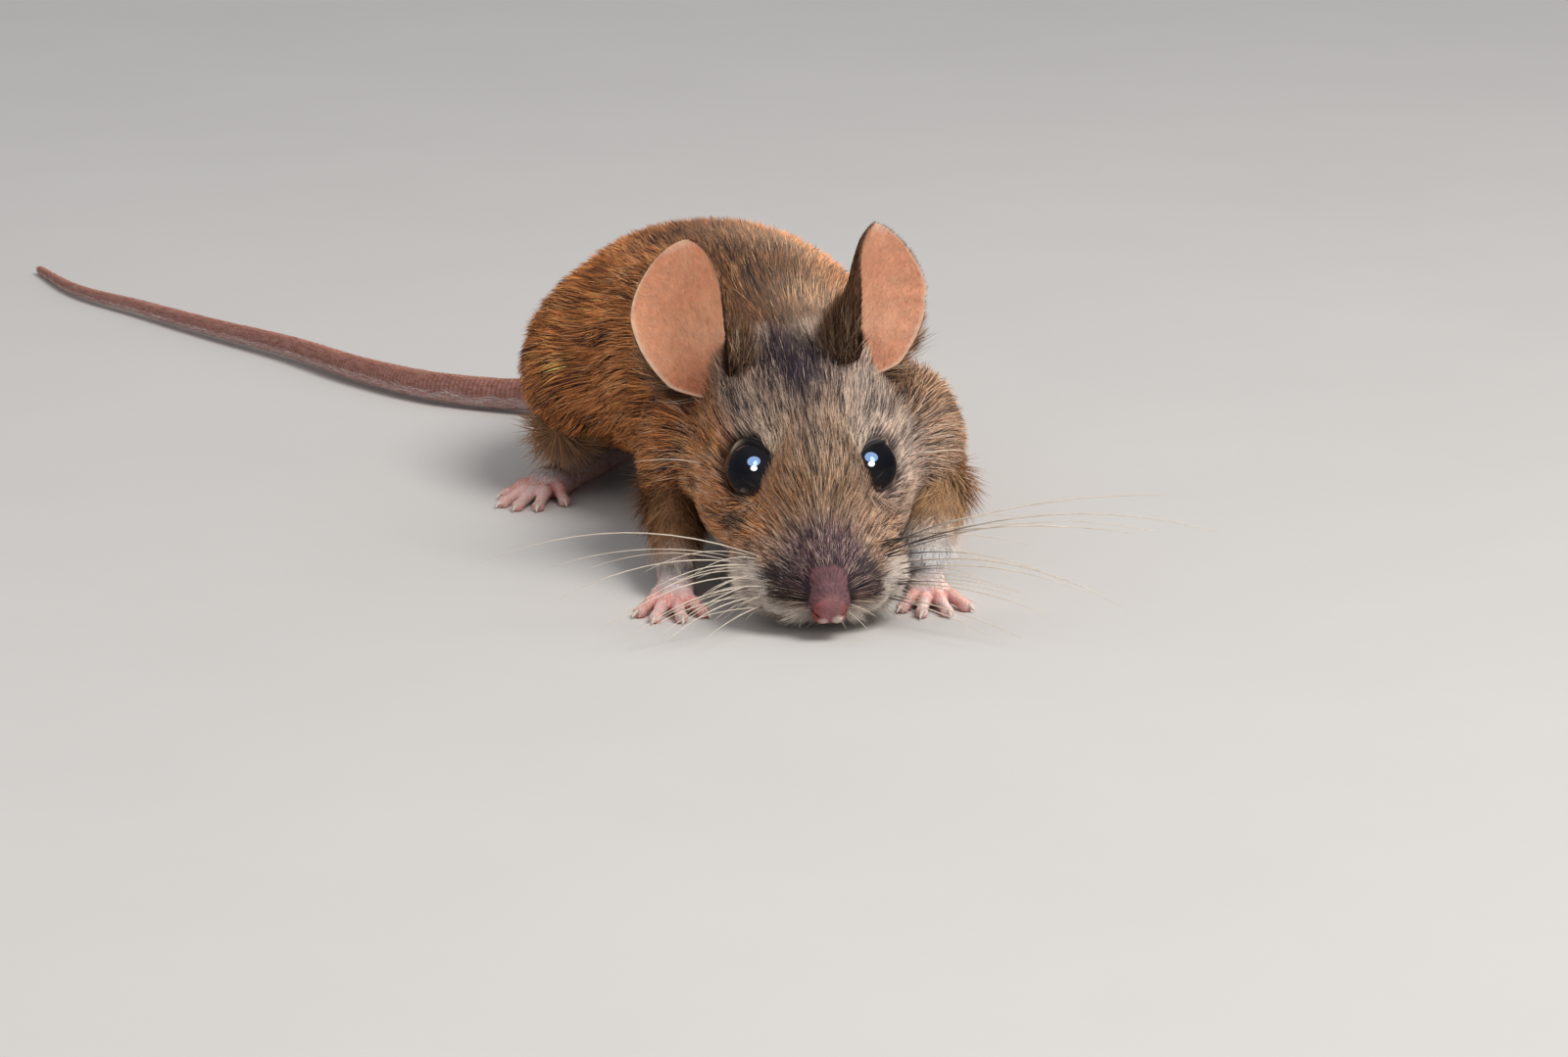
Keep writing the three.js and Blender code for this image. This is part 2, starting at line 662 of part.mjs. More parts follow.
function whiskerSolid({ root, tip, arch }) {
  const [x, y, z] = PAD_CUT.centre;
  const pad = new THREE.Vector3(Math.sign(root[0]) * x, y, z);
  const from = fromHead(new THREE.Vector3(...root).lerp(pad, 0.45).toArray());
  const to = new THREE.Vector3(...tip);
  const bend = from.clone().lerp(to, 0.5);
  bend.z += arch;
  bend.y -= arch * 0.3;
  const points = new THREE.QuadraticBezierCurve3(from, bend, to).getSpacedPoints(WHISKER_STEPS);
  const radii = points.map(() => WHISKER_RADIUS);
  return solidOf(taperedTube(points, radii, WHISKER_SIDES));
}

function padCut(name, grow) {
  const [x, y, z] = PAD_CUT.centre;
  const centre = [name === "left" ? x : -x, y, z];
  return rounded({ centre, radii: PAD_CUT.radii }, grow, headToBody);
}

// ---------------------------------------------------------------- tail

function tailLengths() {
  const route = new THREE.CatmullRomCurve3(
    TAIL_ROUTE.map((point) => new THREE.Vector3(...point)),
    false,
    "centripetal",
  );
  const whole = route.getLength();
  const gapShare = GAP / whole;
  const solids = [];
  for (let piece = 0; piece < TAIL.lengths; piece += 1) {
    const first = piece / TAIL.lengths + gapShare / 2;
    const last = (piece + 1) / TAIL.lengths - gapShare / 2;
    const points = [];
    const radii = [];
    for (let step = 0; step <= TAIL.steps_per_length; step += 1) {
      const share = THREE.MathUtils.lerp(first, last, step / TAIL.steps_per_length);
      const point = route.getPointAt(share);
      const radius = THREE.MathUtils.lerp(TAIL.root_radius, TAIL.tip_radius, share ** 0.8);
      point.z = Math.max(point.z, FLOOR + radius * 0.88);
      points.push(point);
      radii.push(radius);
    }
    solids.push(solidOf(taperedTube(points, radii, TAIL.sides)).subtract(belowFloor));
  }
  return solids;
}

// ---------------------------------------------------------------- parting the body

const eyeRooms = eyeSolid("left", GAP).add(eyeSolid("right", GAP));
const padRooms = padCut("left", GAP / 2).add(padCut("right", GAP / 2));
const armRooms = rounded(ARM_CUTS.left, GAP / 2).add(rounded(ARM_CUTS.right, GAP / 2));
const thighRooms = rounded(THIGH_CUTS.left, GAP / 2).add(rounded(THIGH_CUTS.right, GAP / 2));
const lowerLimbRooms = Object.keys(LOWER_LIMBS)
  .map((name) => lowerLimb(name, GAP))
  .reduce((a, b) => a.add(b));
const limbRooms = armRooms.add(thighRooms).add(lowerLimbRooms).add(allPawRooms);

const noseMiddle = fromHead([0, -11, -4]).toArray();
const fineNose = fieldSolid(
  wholeField,
  noseMiddle.map((c) => c - 5),
  noseMiddle.map((c) => c + 5),
  SQUARE.nose,
);

const parts = new THREE.Group();

function welded(solid) {
  // Corners nearer to each other than WELD become one, and triangles that this closes go.
  const mesh = solid.getMesh();
  const sharp = new THREE.BufferGeometry();
  sharp.setAttribute("position", new THREE.Float32BufferAttribute(mesh.vertProperties, 3));
  sharp.setIndex(Array.from(mesh.triVerts));
  const geometry = mergeVertices(sharp, WELD);
  const corners = Array.from(geometry.index.array);
  const kept = [];
  for (let t = 0; t < corners.length; t += 3) {
    const [a, b, c] = corners.slice(t, t + 3);
    if (a !== b && b !== c && c !== a) kept.push(a, b, c);
  }
  geometry.setIndex(kept);
  return geometry;
}

function addPart(name, solid, colour, roughness = 0.9) {
  const geometry = welded(largestPiece(solid));
  const material = new THREE.MeshStandardMaterial({ color: colour, roughness, metalness: 0 });
  const part = new THREE.Mesh(geometry, material);
  part.name = name;
  parts.add(part);
}

const snout = headSolid
  .intersect(inFront(MUZZLE_CUT, headToBody))
  .subtract(rounded(NOSE_CUT, GAP / 2, headToBody))
  .subtract(eyeRooms)
  .subtract(padRooms);

addPart("nose", fineNose.intersect(rounded(NOSE_CUT, -GAP / 2, headToBody)), COLOURS.nose, 0.45);
addPart("muzzle", snout.intersect(behind(JAW_CUT, headToBody)), COLOURS.muzzle);
addPart("lower_jaw", snout.intersect(inFront(JAW_CUT, headToBody)), COLOURS.belly);
addPart(
  "head",
  headSolid
    .intersect(behind(MUZZLE_CUT, headToBody))
    .intersect(inFront(NECK_CUT))
    .subtract(eyeRooms)
    .subtract(limbRooms),
  COLOURS.crown,
);
addPart(
  "neck",
  neckSolid.intersect(behind(NECK_CUT)).intersect(inFront(SHOULDER_CUT)).subtract(limbRooms),
  COLOURS.coat,
);
addPart(
  "chest",
  bodySolid.intersect(behind(SHOULDER_CUT)).intersect(inFront(CHEST_CUT)).subtract(limbRooms),
  COLOURS.coat,
);
addPart(
  "loin",
  bodySolid.intersect(behind(CHEST_CUT)).intersect(inFront(LOIN_CUT)).subtract(limbRooms),
  COLOURS.coat,
);
addPart(
  "rump",
  bodySolid.intersect(behind(LOIN_CUT)).intersect(inFront(TAIL_CUT)).subtract(limbRooms),
  COLOURS.coat,
);

for (const name of ["left", "right"]) {
  addPart(`eye_${name}`, eyeSolid(name), COLOURS.eye, 0.08);
  addPart(`ear_${name}`, ears[name], COLOURS.ear, 0.7);
  const pad = headSolid.intersect(padCut(name, -GAP / 2));
  const whiskers = WHISKERS[name].reduce(
    (joined, whisker) => joined.add(whiskerSolid(whisker)),
    largestPiece(pad),
  );
  addPart(`whiskers_${name}`, whiskers, COLOURS.whisker, 0.5);

  const arm = limbSolids[name].intersect(rounded(ARM_CUTS[name], -GAP / 2));
  const thigh = limbSolids[name].intersect(rounded(THIGH_CUTS[name], -GAP / 2));
  for (const [part, solid] of Object.entries({ upper_arm: arm, thigh })) {
    const clear = solid.subtract(lowerLimbRooms).subtract(allPawRooms);
    addPart(`${part}_${name}`, clear, COLOURS.coat);
  }
  for (const part of [`forearm_${name}`, `shank_${name}`]) {
    addPart(part, lowerLimb(part).subtract(allPawRooms), COLOURS.belly);
  }
  addPart(`forefoot_${name}`, paws[`forefoot_${name}`], COLOURS.bare_skin, 0.6);
  addPart(`hindfoot_${name}`, paws[`hindfoot_${name}`], COLOURS.bare_skin, 0.6);
}

tailLengths().forEach((solid, piece) => {
  addPart(`tail_${piece + 1}`, solid, COLOURS.tail, 0.7);
});

// The origin is at the middle of the mouse's box, on the floor.
const box = new THREE.Box3().setFromObject(parts);
const middle = box.getCenter(new THREE.Vector3());
parts.position.set(-middle.x, -middle.y, -FLOOR);

const group = new THREE.Group();
group.add(parts);
export default group;
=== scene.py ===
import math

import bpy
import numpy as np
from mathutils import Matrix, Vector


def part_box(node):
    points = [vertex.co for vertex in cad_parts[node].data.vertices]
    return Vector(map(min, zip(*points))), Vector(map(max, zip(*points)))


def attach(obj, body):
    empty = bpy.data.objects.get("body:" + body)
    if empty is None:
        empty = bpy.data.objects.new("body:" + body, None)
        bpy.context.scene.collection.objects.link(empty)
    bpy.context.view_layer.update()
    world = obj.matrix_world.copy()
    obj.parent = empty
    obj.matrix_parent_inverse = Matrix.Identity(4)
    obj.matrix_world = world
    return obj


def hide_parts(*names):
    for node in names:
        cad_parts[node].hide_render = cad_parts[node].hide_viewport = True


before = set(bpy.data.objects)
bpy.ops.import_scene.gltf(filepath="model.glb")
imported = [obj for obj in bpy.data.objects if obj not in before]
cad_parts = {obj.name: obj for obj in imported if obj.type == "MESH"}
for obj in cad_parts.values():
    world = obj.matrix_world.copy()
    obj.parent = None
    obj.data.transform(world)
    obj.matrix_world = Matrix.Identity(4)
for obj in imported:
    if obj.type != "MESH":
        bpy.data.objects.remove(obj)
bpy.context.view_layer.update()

# The looks of a life-size wood mouse: one skin over the whole body, thin ears, scaly tail and
# bare paws, glossy eyes, a moist nose, whiskers, and a coat of hair blades that lie along it.
#
# Shapes are worked out in millimetres in the model's design frame, where the floor under the
# nose is the origin, the mouse faces -Y and its own left side is +X. ORIGIN moves them into
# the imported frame. The body is the same smooth field of blobs that the CAD solids come from,
# taken inwards by the depth of the coat.

import openvdb as vdb
from mathutils import Vector

# ---------------------------------------------------------------- driving sizes, as in the CAD

HEAD_PITCH = 20  # degrees, nose down
HEAD_YAW = 8  # degrees, nose turned to the mouse's own left
EYES_MIDDLE = np.array([-1.4, 10.9, 10.5])  # origin of the head's frame
SNOUT_BEND = (-2.0, 0.02)  # the snout turns back to the right ahead of here, by this slope

EYE_RADIUS = 2.35
EYE_BULGE = 0.035  # how far the cornea stands out, as a share of the radius
EYE_CENTRE = np.array([4.0, 0.3, -0.2])  # head frame; the other eye is its mirror image
EYE_AXIS = np.array([0.76, -0.507, 0.406])  # the way the eye looks
LID_PLANE = 0.72  # how far out along that axis the corners of the lids open
LID_DROOP = {"left": (0.95, 0.4), "right": (0.45, 0.12)}  # the same for mid upper and lower lid
LID_RIM = 0.28  # how far the rim of the lids reaches beyond the eyeball
LID_MELT = 0.7
EYE_ROOM = 0.1  # between the eyeball and the skin behind the lids
LID_HIGHLIGHT_TURN = 0.87  # radians round the opening to a painted highlight on the upper outer part of its rim
BROW_TURN = 0.9  # radians from the eye's up to its brow, where the upper lid droops most

FLOOR_GAP = 0.02  # soles lie this far above the floor
HAIR_FLOOR_GAP = 0.06  # and hairs at least this far
SKIN_SQUARE = 0.3  # mesh size of the trunk and head
TRUNK_BOX = ((-29, -3.5, -0.5), (14, 75, 28))
PAW_SQUARE = 0.2
NOSE_SQUARE = 0.1
SEEDS = {"trunk": 11, "nose": 21, "whiskers": 31, "ears": 51, "limbs": 71, "tail": 91}


def size(v):
    """The length of each row."""
    return np.linalg.norm(v, axis=1)


def ball(centre, radii):
    """Distance to an ellipsoid."""
    centre, radii = np.array(centre, float), np.array(radii, float)

    def distance(p):
        rel = p - centre
        reach = size(rel / radii)
        return reach * (reach - 1) / np.maximum(size(rel / radii**2), 1e-6)

    return distance


def bar(start, start_radius, end, end_radius):
    """Distance to the ball that shrinks as it rolls from one point to another."""
    start = np.array(start, float)
    axis = np.array(end, float) - start
    length = np.linalg.norm(axis)
    taper = (start_radius - end_radius) / length
    slant = math.sqrt(1 - taper**2)

    def distance(p):
        rel = p - start
        along = rel @ axis / length
        across = np.sqrt(np.maximum((rel**2).sum(1) - along**2, 0))
        foot = along * slant - across * taper
        side = across * slant + along * taper - start_radius
        low = np.hypot(along, across) - start_radius
        high = np.hypot(along - length, across) - end_radius
        return np.where(foot < 0, low, np.where(foot > length * slant, high, side))

    return distance


def melt(a, b, width):
    """The smaller of two distances, rounded off where they are alike."""
    share = np.maximum(0, width - np.abs(a - b)) / width
    return np.minimum(a, b) - share**2 * width / 4


def melted(blobs, width):
    def distance(p):
        nearest = blobs[0](p)
        for blob in blobs[1:]:
            nearest = melt(nearest, blob(p), width)
        return nearest

    return distance


def both_sides(centre, radii):
    x, y, z = centre
    return [ball(centre, radii), ball((-x, y, z), radii)]


HEAD_BLOBS = [
    ball((0, 6.4, -0.8), (7.3, 8.6, 6.6)),  # cranium
    ball((0, 0.2, -0.4), (4.7, 5.8, 4.5)),  # forehead
    bar((0, -1.5, -1.6), 3.6, (0, -10.4, -3.7), 1.9),  # snout
    bar((0, -6.6, -6.3), 1.5, (0, 2.5, -5.6), 3.4),  # chin
    *both_sides((4.3, 3.4, -3.8), (4.2, 6.2, 4.7)),  # cheeks
    *both_sides((3.0, -3.6, -4.6), (3.2, 4.6, 3.2)),  # lips
    *both_sides((2.9, -8.0, -4.4), (2.5, 3.1, 2.4)),  # whisker pads
]
NOSE_BLOB = ball((0, -11.3, -3.9), (1.7, 1.5, 1.55))
HEAD_MELT = 1.6
NOSE_MELT = 0.7

BODY_BLOBS = [
    bar((-2.2, 19.5, 11.0), 7.0, (-3.4, 28.5, 11.0), 8.2),  # neck
    ball((-3.0, 31, 10.2), (10.8, 11.5, 8.8)),  # chest
    ball((-10.8, 24.5, 8.8), (4.6, 6.8, 7.0)),  # right shoulder
    ball((6.4, 25.0, 8.7), (4.7, 6.8, 7.4)),  # left shoulder
    ball((-7.6, 43, 12.1), (12.6, 13.5, 10.6)),  # loin
    ball((-9.6, 54, 11.2), (14.0, 14.6, 10.4)),  # rump
    ball((-20.0, 50, 9.8), (5.7, 10.2, 6.4)),  # right thigh
    ball((-0.6, 51, 9.8), (5.4, 10.2, 6.4)),  # left thigh
    bar((-12.2, 64, 8.8), 3.8, (-15.5, 71.5, 4.6), 1.7),  # tail root
]
BODY_MELT = 3.2

# Lower limbs: from the elbow or knee down to the wrist or heel.
LOWER_LIMBS = {
    "forefoot_left": ((8.2, 22.5, 6.6), 2.1, (7.3, 15.8, 2.5), 1.45),
    "forefoot_right": ((-11.6, 22.0, 5.6), 2.1, (-11.6, 14.4, 2.5), 1.45),
    "hindfoot_left": ((1.6, 46.4, 5.4), 2.2, (-1.0, 57.0, 3.7), 1.6),
    "hindfoot_right": ((-21.2, 46.0, 5.4), 2.2, (-17.4, 57.0, 3.7), 1.6),
}
# Length, width and height; each digit's fan in degrees and length; its radius at root and tip.
FOREPAW = (3.2, 1.75, 1.5, ((-34, 3.0), (-10, 3.9), (14, 3.8), (42, 3.1)), (0.68, 0.5))
HINDPAW = (13.0, 1.9, 1.75, ((-40, 3.2), (-15, 5.2), (0, 5.6), (15, 5.2), (38, 3.6)), (0.72, 0.5))
PAWS = {  # kind, where the wrist or heel stands, and the way the paw points in degrees
    "forefoot_left": (FOREPAW, (7.2, 15.4), 2),
    "forefoot_right": (FOREPAW, (-11.6, 13.8), -4),
    "hindfoot_left": (HINDPAW, (-1.0, 58.4), 14),
    "hindfoot_right": (HINDPAW, (-17.2, 58.4), -23),
}
SOLE_FLATNESS = 0.82
LIMB_DEPTH = (0.6, 0.35)  # of the skin inside the solids, at the ends of a lower limb
SOLE_DEPTH = 0.12
DIGIT_DEPTH = 0.08

EARS = {  # head frame: foot, tip, and the way the hollow faces
    "left": ((3.0, 10.1, 2.0), (6.9, 14.4, 12.0), (0.86, -0.6, 0.28)),
    "right": ((-4.3, 10.2, 0.6), (-8.9, 15.4, 10.4), (-0.9, -0.55, 0.3)),
}
EAR_HALF_WIDTH = 6.3
EAR_ROUND_FROM = 0.62  # share of the length where the rounded top starts
EAR_CURL = (112, 36)  # degrees from the middle line to the margin, at the root and at the tip
EAR_BACKWARD_BOW = 0.9
EAR_THICKNESS = (0.62, 0.3)  # at the root and at the margin
EAR_NOTCH = 0.035  # depth of the nick in the left ear's margin, as a share of its half width

TAIL_ROUTE = [
    (-14.6, 69.4, 5.8), (-18.5, 73.4, 3.0), (-25.5, 75.6, 1.7), (-33.5, 79.5, 1.5),
    (-40.5, 86.6, 1.4), (-48.0, 97.0, 1.3), (-56.0, 106.5, 1.1), (-63.5, 116.0, 0.95),
    (-71.0, 125.5, 0.75), (-76.5, 137.5, 0.45),
]
TAIL_RADIUS = (1.75, 0.5)
TAIL_DEPTH = 0.1

WHISKERS = {  # root in the head frame, tip in the body frame, height of the arch
    "left": [
        ((4.1, -7.2, -3.0), (28.2, 0.5, 8.2), 4.8),
        ((4.2, -6.6, -2.6), (24.4, 3.0, 10.4), 2.4),
        ((4.4, -7.6, -3.8), (21.4, -1.0, 2.8), 4.2),
        ((4.5, -7.4, -4.4), (18.6, 1.0, 3.6), 2.6),
        ((4.4, -8.2, -4.9), (15.8, -2.0, 2.6), 1.8),
        ((4.0, -8.8, -5.5), (11.2, -2.4, 1.3), 0.9),
    ],
    "right": [
        ((-4.1, -7.2, -3.0), (-25.6, 2.0, 5.6), 4.6),
        ((-4.3, -7.0, -3.8), (-19.8, 0.0, 3.4), 3.2),
        ((-4.4, -7.6, -4.4), (-17.2, -2.8, 1.3), 3.2),
        ((-4.4, -8.0, -5.0), (-14.6, -2.6, 1.2), 2.4),
        ((-4.2, -8.4, -5.4), (-12.0, -2.8, 1.0), 1.6),
        ((-3.9, -8.9, -5.8), (-9.4, -2.6, 0.9), 0.9),
    ],
}
WHISKER_GIRTH = 0.047  # of the long ones
FINE_GIRTH = 0.03  # whiskers and bristles thinner than this are pale from the root
FINE_WHISKERS = 15  # on each side, between the long ones
BROW_HAIR = ((7.3, 3.4, -1.6), (5.4, 1.6, -0.6))  # the long hair behind each eye: root and reach

# ---------------------------------------------------------------- sizes of the coat

# Each runs from the nose back.
FUR_DENSITY = (150.0, 130.0, 90.0, 50.0)  # hairs for each square millimetre
FUR_DEPTH = (0.2, 0.7, 1.2, 1.3, 2.2)  # of the skin inside it; the last two are belly and back
FUR_LENGTH = (0.95, 2.7, 3.0, 4.6)
FUR_WIDTH = (0.04, 0.052, 0.092)
# Length, rise above the skin and lift where the coat stands out; None leaves the rise alone.
FRINGE_FUR = (2.0, 1.3, 0.6)
HEM_FUR = (6.0, None, 0.5)
EAR_TUFT_FUR = (3.8, 2.3, 0.85)
STREAK_FAN = 17.0  # streaks are as wide as their tufts at this distance from the nose
STREAK_LENGTH = 6.0  # a streak's length for each unit of its width
STREAK_BLUR = 0.45  # how far hairs stray out of their streaks, as a share of its width
TUFT_BLUR = 0.22  # the same for tufts
PLAIN_FROM = 0.42  # fur with no channel darker than this has no streaks
BLADE_TAPER = {2: (0.9, 0.75), 3: (0.8, 1.0, 0.7)}  # width at each step, by number of steps
PATCH = (0.0013, 0.0014)  # half the size of a tuft's patch on the map OFBake
LIMB_FADE = np.array([0.75, 1.05, 1.2])  # brightness of a lower limb's hair from root to tip
# The right forefoot's white stops lower, with brown above it: painted shade on its shaded side.
LIMB_WHITE_TO = {  # height below which the down of a lower limb is white
    "forefoot_left": 4.3, "forefoot_right": 2.6, "hindfoot_left": 3.0, "hindfoot_right": 3.0
}

# ---------------------------------------------------------------- colours (linear)

BUFF = (0.45, 0.26, 0.13)
PALE_BUFF = (0.68, 0.42, 0.22)
GREY_BUFF = (0.54, 0.42, 0.36)
FACE_BROWN = (0.37, 0.2, 0.12)
ORANGE = (0.66, 0.225, 0.057)
BROWN = (0.24, 0.1, 0.038)
DARK_BROWN = (0.05, 0.026, 0.018)
CROWN_DARK = (0.034, 0.026, 0.05)
# Pale hair tips, made lighter and pinker by painted sheen.
PALE_STREAK_AND_SHEEN = (0.8, 0.61, 0.45)
DARK_STREAK = (0.022, 0.017, 0.026)
CREAM = (0.88, 0.77, 0.68)
WHITE_FUR = (0.88, 0.84, 0.83)
PAD_DARK = (0.042, 0.029, 0.03)
PAD_MAUVE = (0.15, 0.075, 0.09)
# The ears' inner pink is partly painted glow of light shining through the thin skin.
EAR_PINK_AND_GLOW = (0.93, 0.45, 0.26)
EAR_RED = (0.62, 0.2, 0.1)
EAR_PALE = (0.92, 0.66, 0.5)
EAR_BACK = (0.4, 0.17, 0.09)
EAR_PAINTED_LIGHT = {"left": 0.72, "right": 1.05}  # painted light: the right ear is lighter, for light shining through it, and the left one darker
EAR_DOWN = (0.62, 0.27, 0.14)
PAW_PINK = (0.8, 0.56, 0.53)
PAW_RED = (0.72, 0.2, 0.14)
TAIL_TOP = (0.33, 0.15, 0.13)
TAIL_UNDER = (0.55, 0.33, 0.29)
NOSE_PINK = (0.27, 0.115, 0.12)
NOSE_RED = (0.29, 0.065, 0.055)
LID_DARK = (0.012, 0.009, 0.01)
LID_PINK = (0.2, 0.13, 0.13)
EYE_BROWN = (0.012, 0.008, 0.007)
PUPIL_BLACK = (0.003, 0.003, 0.004)
WHISKER_DARK = (0.06, 0.042, 0.036)
WHISKER_PALE = (0.72, 0.62, 0.5)
WHISKER_FADE = {"left": (0.1, 0.45), "right": (-0.05, 0.3)}  # shares of the length
CLAW_ROOT = (0.62, 0.45, 0.38)
CLAW_TIP = (0.75, 0.68, 0.58)

# ---------------------------------------------------------------- floor, lights and camera

FLOOR_COLOUR = (0.72, 0.69, 0.66)
FLOOR_REACH = 4.0  # metres from its middle to each edge
REFLECTED_SHARE = 0.12  # of the floor and of the world, in what the eyes mirror
WORLD_COLOUR = (0.93, 0.96, 1.0)
WORLD_LEVEL = 0.45
CAMERA_PLACE = (-3.5, -367.0, 100.6)  # design frame
CAMERA_TILT = 14.06  # degrees below level
CAMERA_LENS = 120.5
# Direction from the head, distance in metres, size, power and colour.
BODY_LAMPS = {
    "key": ((0.42, -0.36, 0.83), 0.5, (0.27, 0.27), 1.75, (1.0, 0.985, 0.96)),
    "side": ((0.9, -0.3, 0.32), 0.5, (0.27, 0.27), 0.65, (0.98, 0.99, 1.0)),
    "fill": ((-0.85, -0.4, 0.35), 0.5, (0.27, 0.27), 0.3, (1.0, 0.9, 0.82)),
    "rim": ((0.3, 0.8, 0.52), 0.6, (0.3, 0.2), 2.6, (1.0, 0.76, 0.56)),
}
EYE_LAMPS = {  # directions of the window and of the glint below it
    "left": ((0.31, -0.57, 0.76), (0.32, -0.82, 0.4)),
    "right": ((-0.2, -0.63, 0.75), (-0.18, -0.86, 0.36)),
}
# The eyes' lamps: distance, size, power and colour. The gap lies between window and glint.
WINDOW_LAMP = (0.4, (0.32, 0.27), 2.2, (0.36, 0.58, 1.0))
GAP_LAMP = (0.41, (0.1, 0.16), 0.4, (0.7, 0.85, 1.0))
GLINT_LAMP = (0.42, (0.17, 0.14), 1.4, (0.9, 0.95, 1.0))

# ---------------------------------------------------------------- small helpers


def unit(v):
    v = np.asarray(v, float)
    return v / np.maximum(np.linalg.norm(v, axis=-1, keepdims=True), 1e-9)


def ramp(low, high, value):
    """0 below low, 1 above high, and smooth between them."""
    t = np.clip((value - low) / (high - low), 0, 1)
    return t * t * (3 - 2 * t)


def fall(low, high, value):
    """1 below low, 0 above high, and smooth between them."""
    return 1 - ramp(low, high, value)


def mix(a, b, share):
    a, b = np.asarray(a, float), np.asarray(b, float)
    return a + (b - a) * share


def near(p, centre, radii):
    """1 at the centre, fading to 0 at the ellipsoid's edge."""
    return fall(0.45, 1.0, size((p - np.array(centre, float)) / np.array(radii, float)))


def paint(colours, *layers):
    """A colour for each point: the base, with each (colour, mask) laid over it in turn."""
    for colour, mask in layers:
        colours = mix(colours, colour, np.asarray(mask)[..., None])
    return colours


def turn_about(axis, degrees):
    c, s = math.cos(math.radians(degrees)), math.sin(math.radians(degrees))
    if axis == "x":
        return np.array([[1, 0, 0], [0, c, -s], [0, s, c]])
    return np.array([[c, -s, 0], [s, c, 0], [0, 0, 1]])


def pointing(degrees):
    """The level direction at an angle from straight ahead."""
    return np.array([math.sin(math.radians(degrees)), -math.cos(math.radians(degrees)), 0])


HEAD_TURN = turn_about("z", HEAD_YAW) @ turn_about("x", HEAD_PITCH)


def snout_shift(y):
    return SNOUT_BEND[1] * np.maximum(0, SNOUT_BEND[0] - y)


def from_head(p):
    p = np.array(p, float)
    p[..., 0] -= snout_shift(p[..., 1])
    return p @ HEAD_TURN.T + EYES_MIDDLE


def to_head(p):
    h = (p - EYES_MIDDLE) @ HEAD_TURN
    h[:, 0] += snout_shift(h[:, 1])
    return h


def turned_from_head(direction):
    return np.asarray(direction, float) @ HEAD_TURN.T


def mirrored(v, side):
    return np.array([side * v[0], v[1], v[2]])


SIDES = {"left": 1, "right": -1}
EYE_CENTRES = {name: from_head(mirrored(EYE_CENTRE, s)) for name, s in SIDES.items()}
EYE_AXES = {name: turned_from_head(unit(mirrored(EYE_AXIS, s))) for name, s in SIDES.items()}

MM = 0.001
low_corner, high_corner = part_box("eye_left")
eye_in_frame = 0.5 / MM * (np.array(low_corner) + np.array(high_corner))
ORIGIN = eye_in_frame - EYE_CENTRES["left"]
ORIGIN[2] = 0.0

# ---------------------------------------------------------------- the body's field

head_only = melted(HEAD_BLOBS, HEAD_MELT)
body_only = melted(BODY_BLOBS, BODY_MELT)


def whole_field(p):
    """Distance to the tips of the coat, below zero inside."""
    h = to_head(p)
    return melt(melt(head_only(h), NOSE_BLOB(h), NOSE_MELT), body_only(p), BODY_MELT)


def eye_frame(name):
    """The eye's axis, and the ways across its opening: level with the brow, and up to it."""
    axis = EYE_AXES[name]
    back = turned_from_head((0, 1, 0.25))
    corner = unit(back - axis * (back @ axis))
    up = np.cross(axis, corner) * SIDES[name]
    level = corner * math.cos(BROW_TURN) - up * math.sin(BROW_TURN)
    return axis, level, up * math.cos(BROW_TURN) + corner * math.sin(BROW_TURN)


def lid_droop(name, height):
    """How far the lids lie outside LID_PLANE, from the sine of the angle round the opening."""
    upper, lower = LID_DROOP[name]
    return np.where(height > 0, upper, lower) * height**2


def coat_depth(p):
    """How far the skin lies inside the tips of the coat."""
    h = to_head(p)
    face = mix(FUR_DEPTH[0], FUR_DEPTH[1], ramp(-11.0, -2.0, h[:, 1]))
    face = mix(face, FUR_DEPTH[2], ramp(0, 11, h[:, 1]))
    body = mix(FUR_DEPTH[3], FUR_DEPTH[4], ramp(3.0, 11.0, p[:, 2]))
    return mix(face, body, ramp(14, 27, p[:, 1]))


def skin_field(p):
    """The trunk and head without the coat, with a rim of lid round each eyeball."""
    distance = whole_field(p) + coat_depth(p)
    for name in SIDES:
        rel = p - EYE_CENTRES[name]
        reach = size(rel)
        axis, level, high = eye_frame(name)
        height = rel @ high / np.maximum(np.hypot(rel @ high, rel @ level), 0.5)
        opening = rel @ axis - LID_PLANE - lid_droop(name, height)
        distance = melt(distance, np.maximum(reach - (EYE_RADIUS + LID_RIM), opening), LID_MELT)
        distance = np.maximum(distance, np.minimum(opening, EYE_RADIUS + EYE_ROOM - reach))
    return distance


def nose_field(p):
    """The bare tip of the nose: a tall soft wedge with wings and curved nostrils."""
    h = to_head(p)
    halves = (h, h * [-1, 1, 1])
    body = bar((0, -10.3, -3.0), 1.0, (0, -11.8, -3.7), 1.12)(h)
    for q in halves:
        body = melt(body, ball((0.5, -10.9, -3.0), (0.76, 0.95, 0.85))(q), 0.6)
        body = melt(body, ball((0.56, -11.95, -3.8), (0.76, 0.95, 1.0))(q), 0.5)
        body = melt(body, ball((0.5, -12.15, -4.55), (0.74, 0.85, 0.72))(q), 0.4)
    for q in halves:
        body = -melt(-body, bar((0.8, -12.8, -4.35), 0.12, (1.3, -12.1, -4.0), 0.1)(q), 0.14)
    return body


def slope_of(field, p, step=0.05):
    slope = np.empty_like(p)
    for axis in range(3):
        move = np.zeros(3)
        move[axis] = step
        slope[:, axis] = (field(p + move) - field(p - move)) / (2 * step)
    return slope


def in_batches(field, p, batch=400_000):
    return np.concatenate([field(p[i : i + batch]) for i in range(0, len(p), batch)])


def grid_points(axes):
    return np.stack(np.meshgrid(*axes, indexing="ij"), -1).reshape(-1, 3)


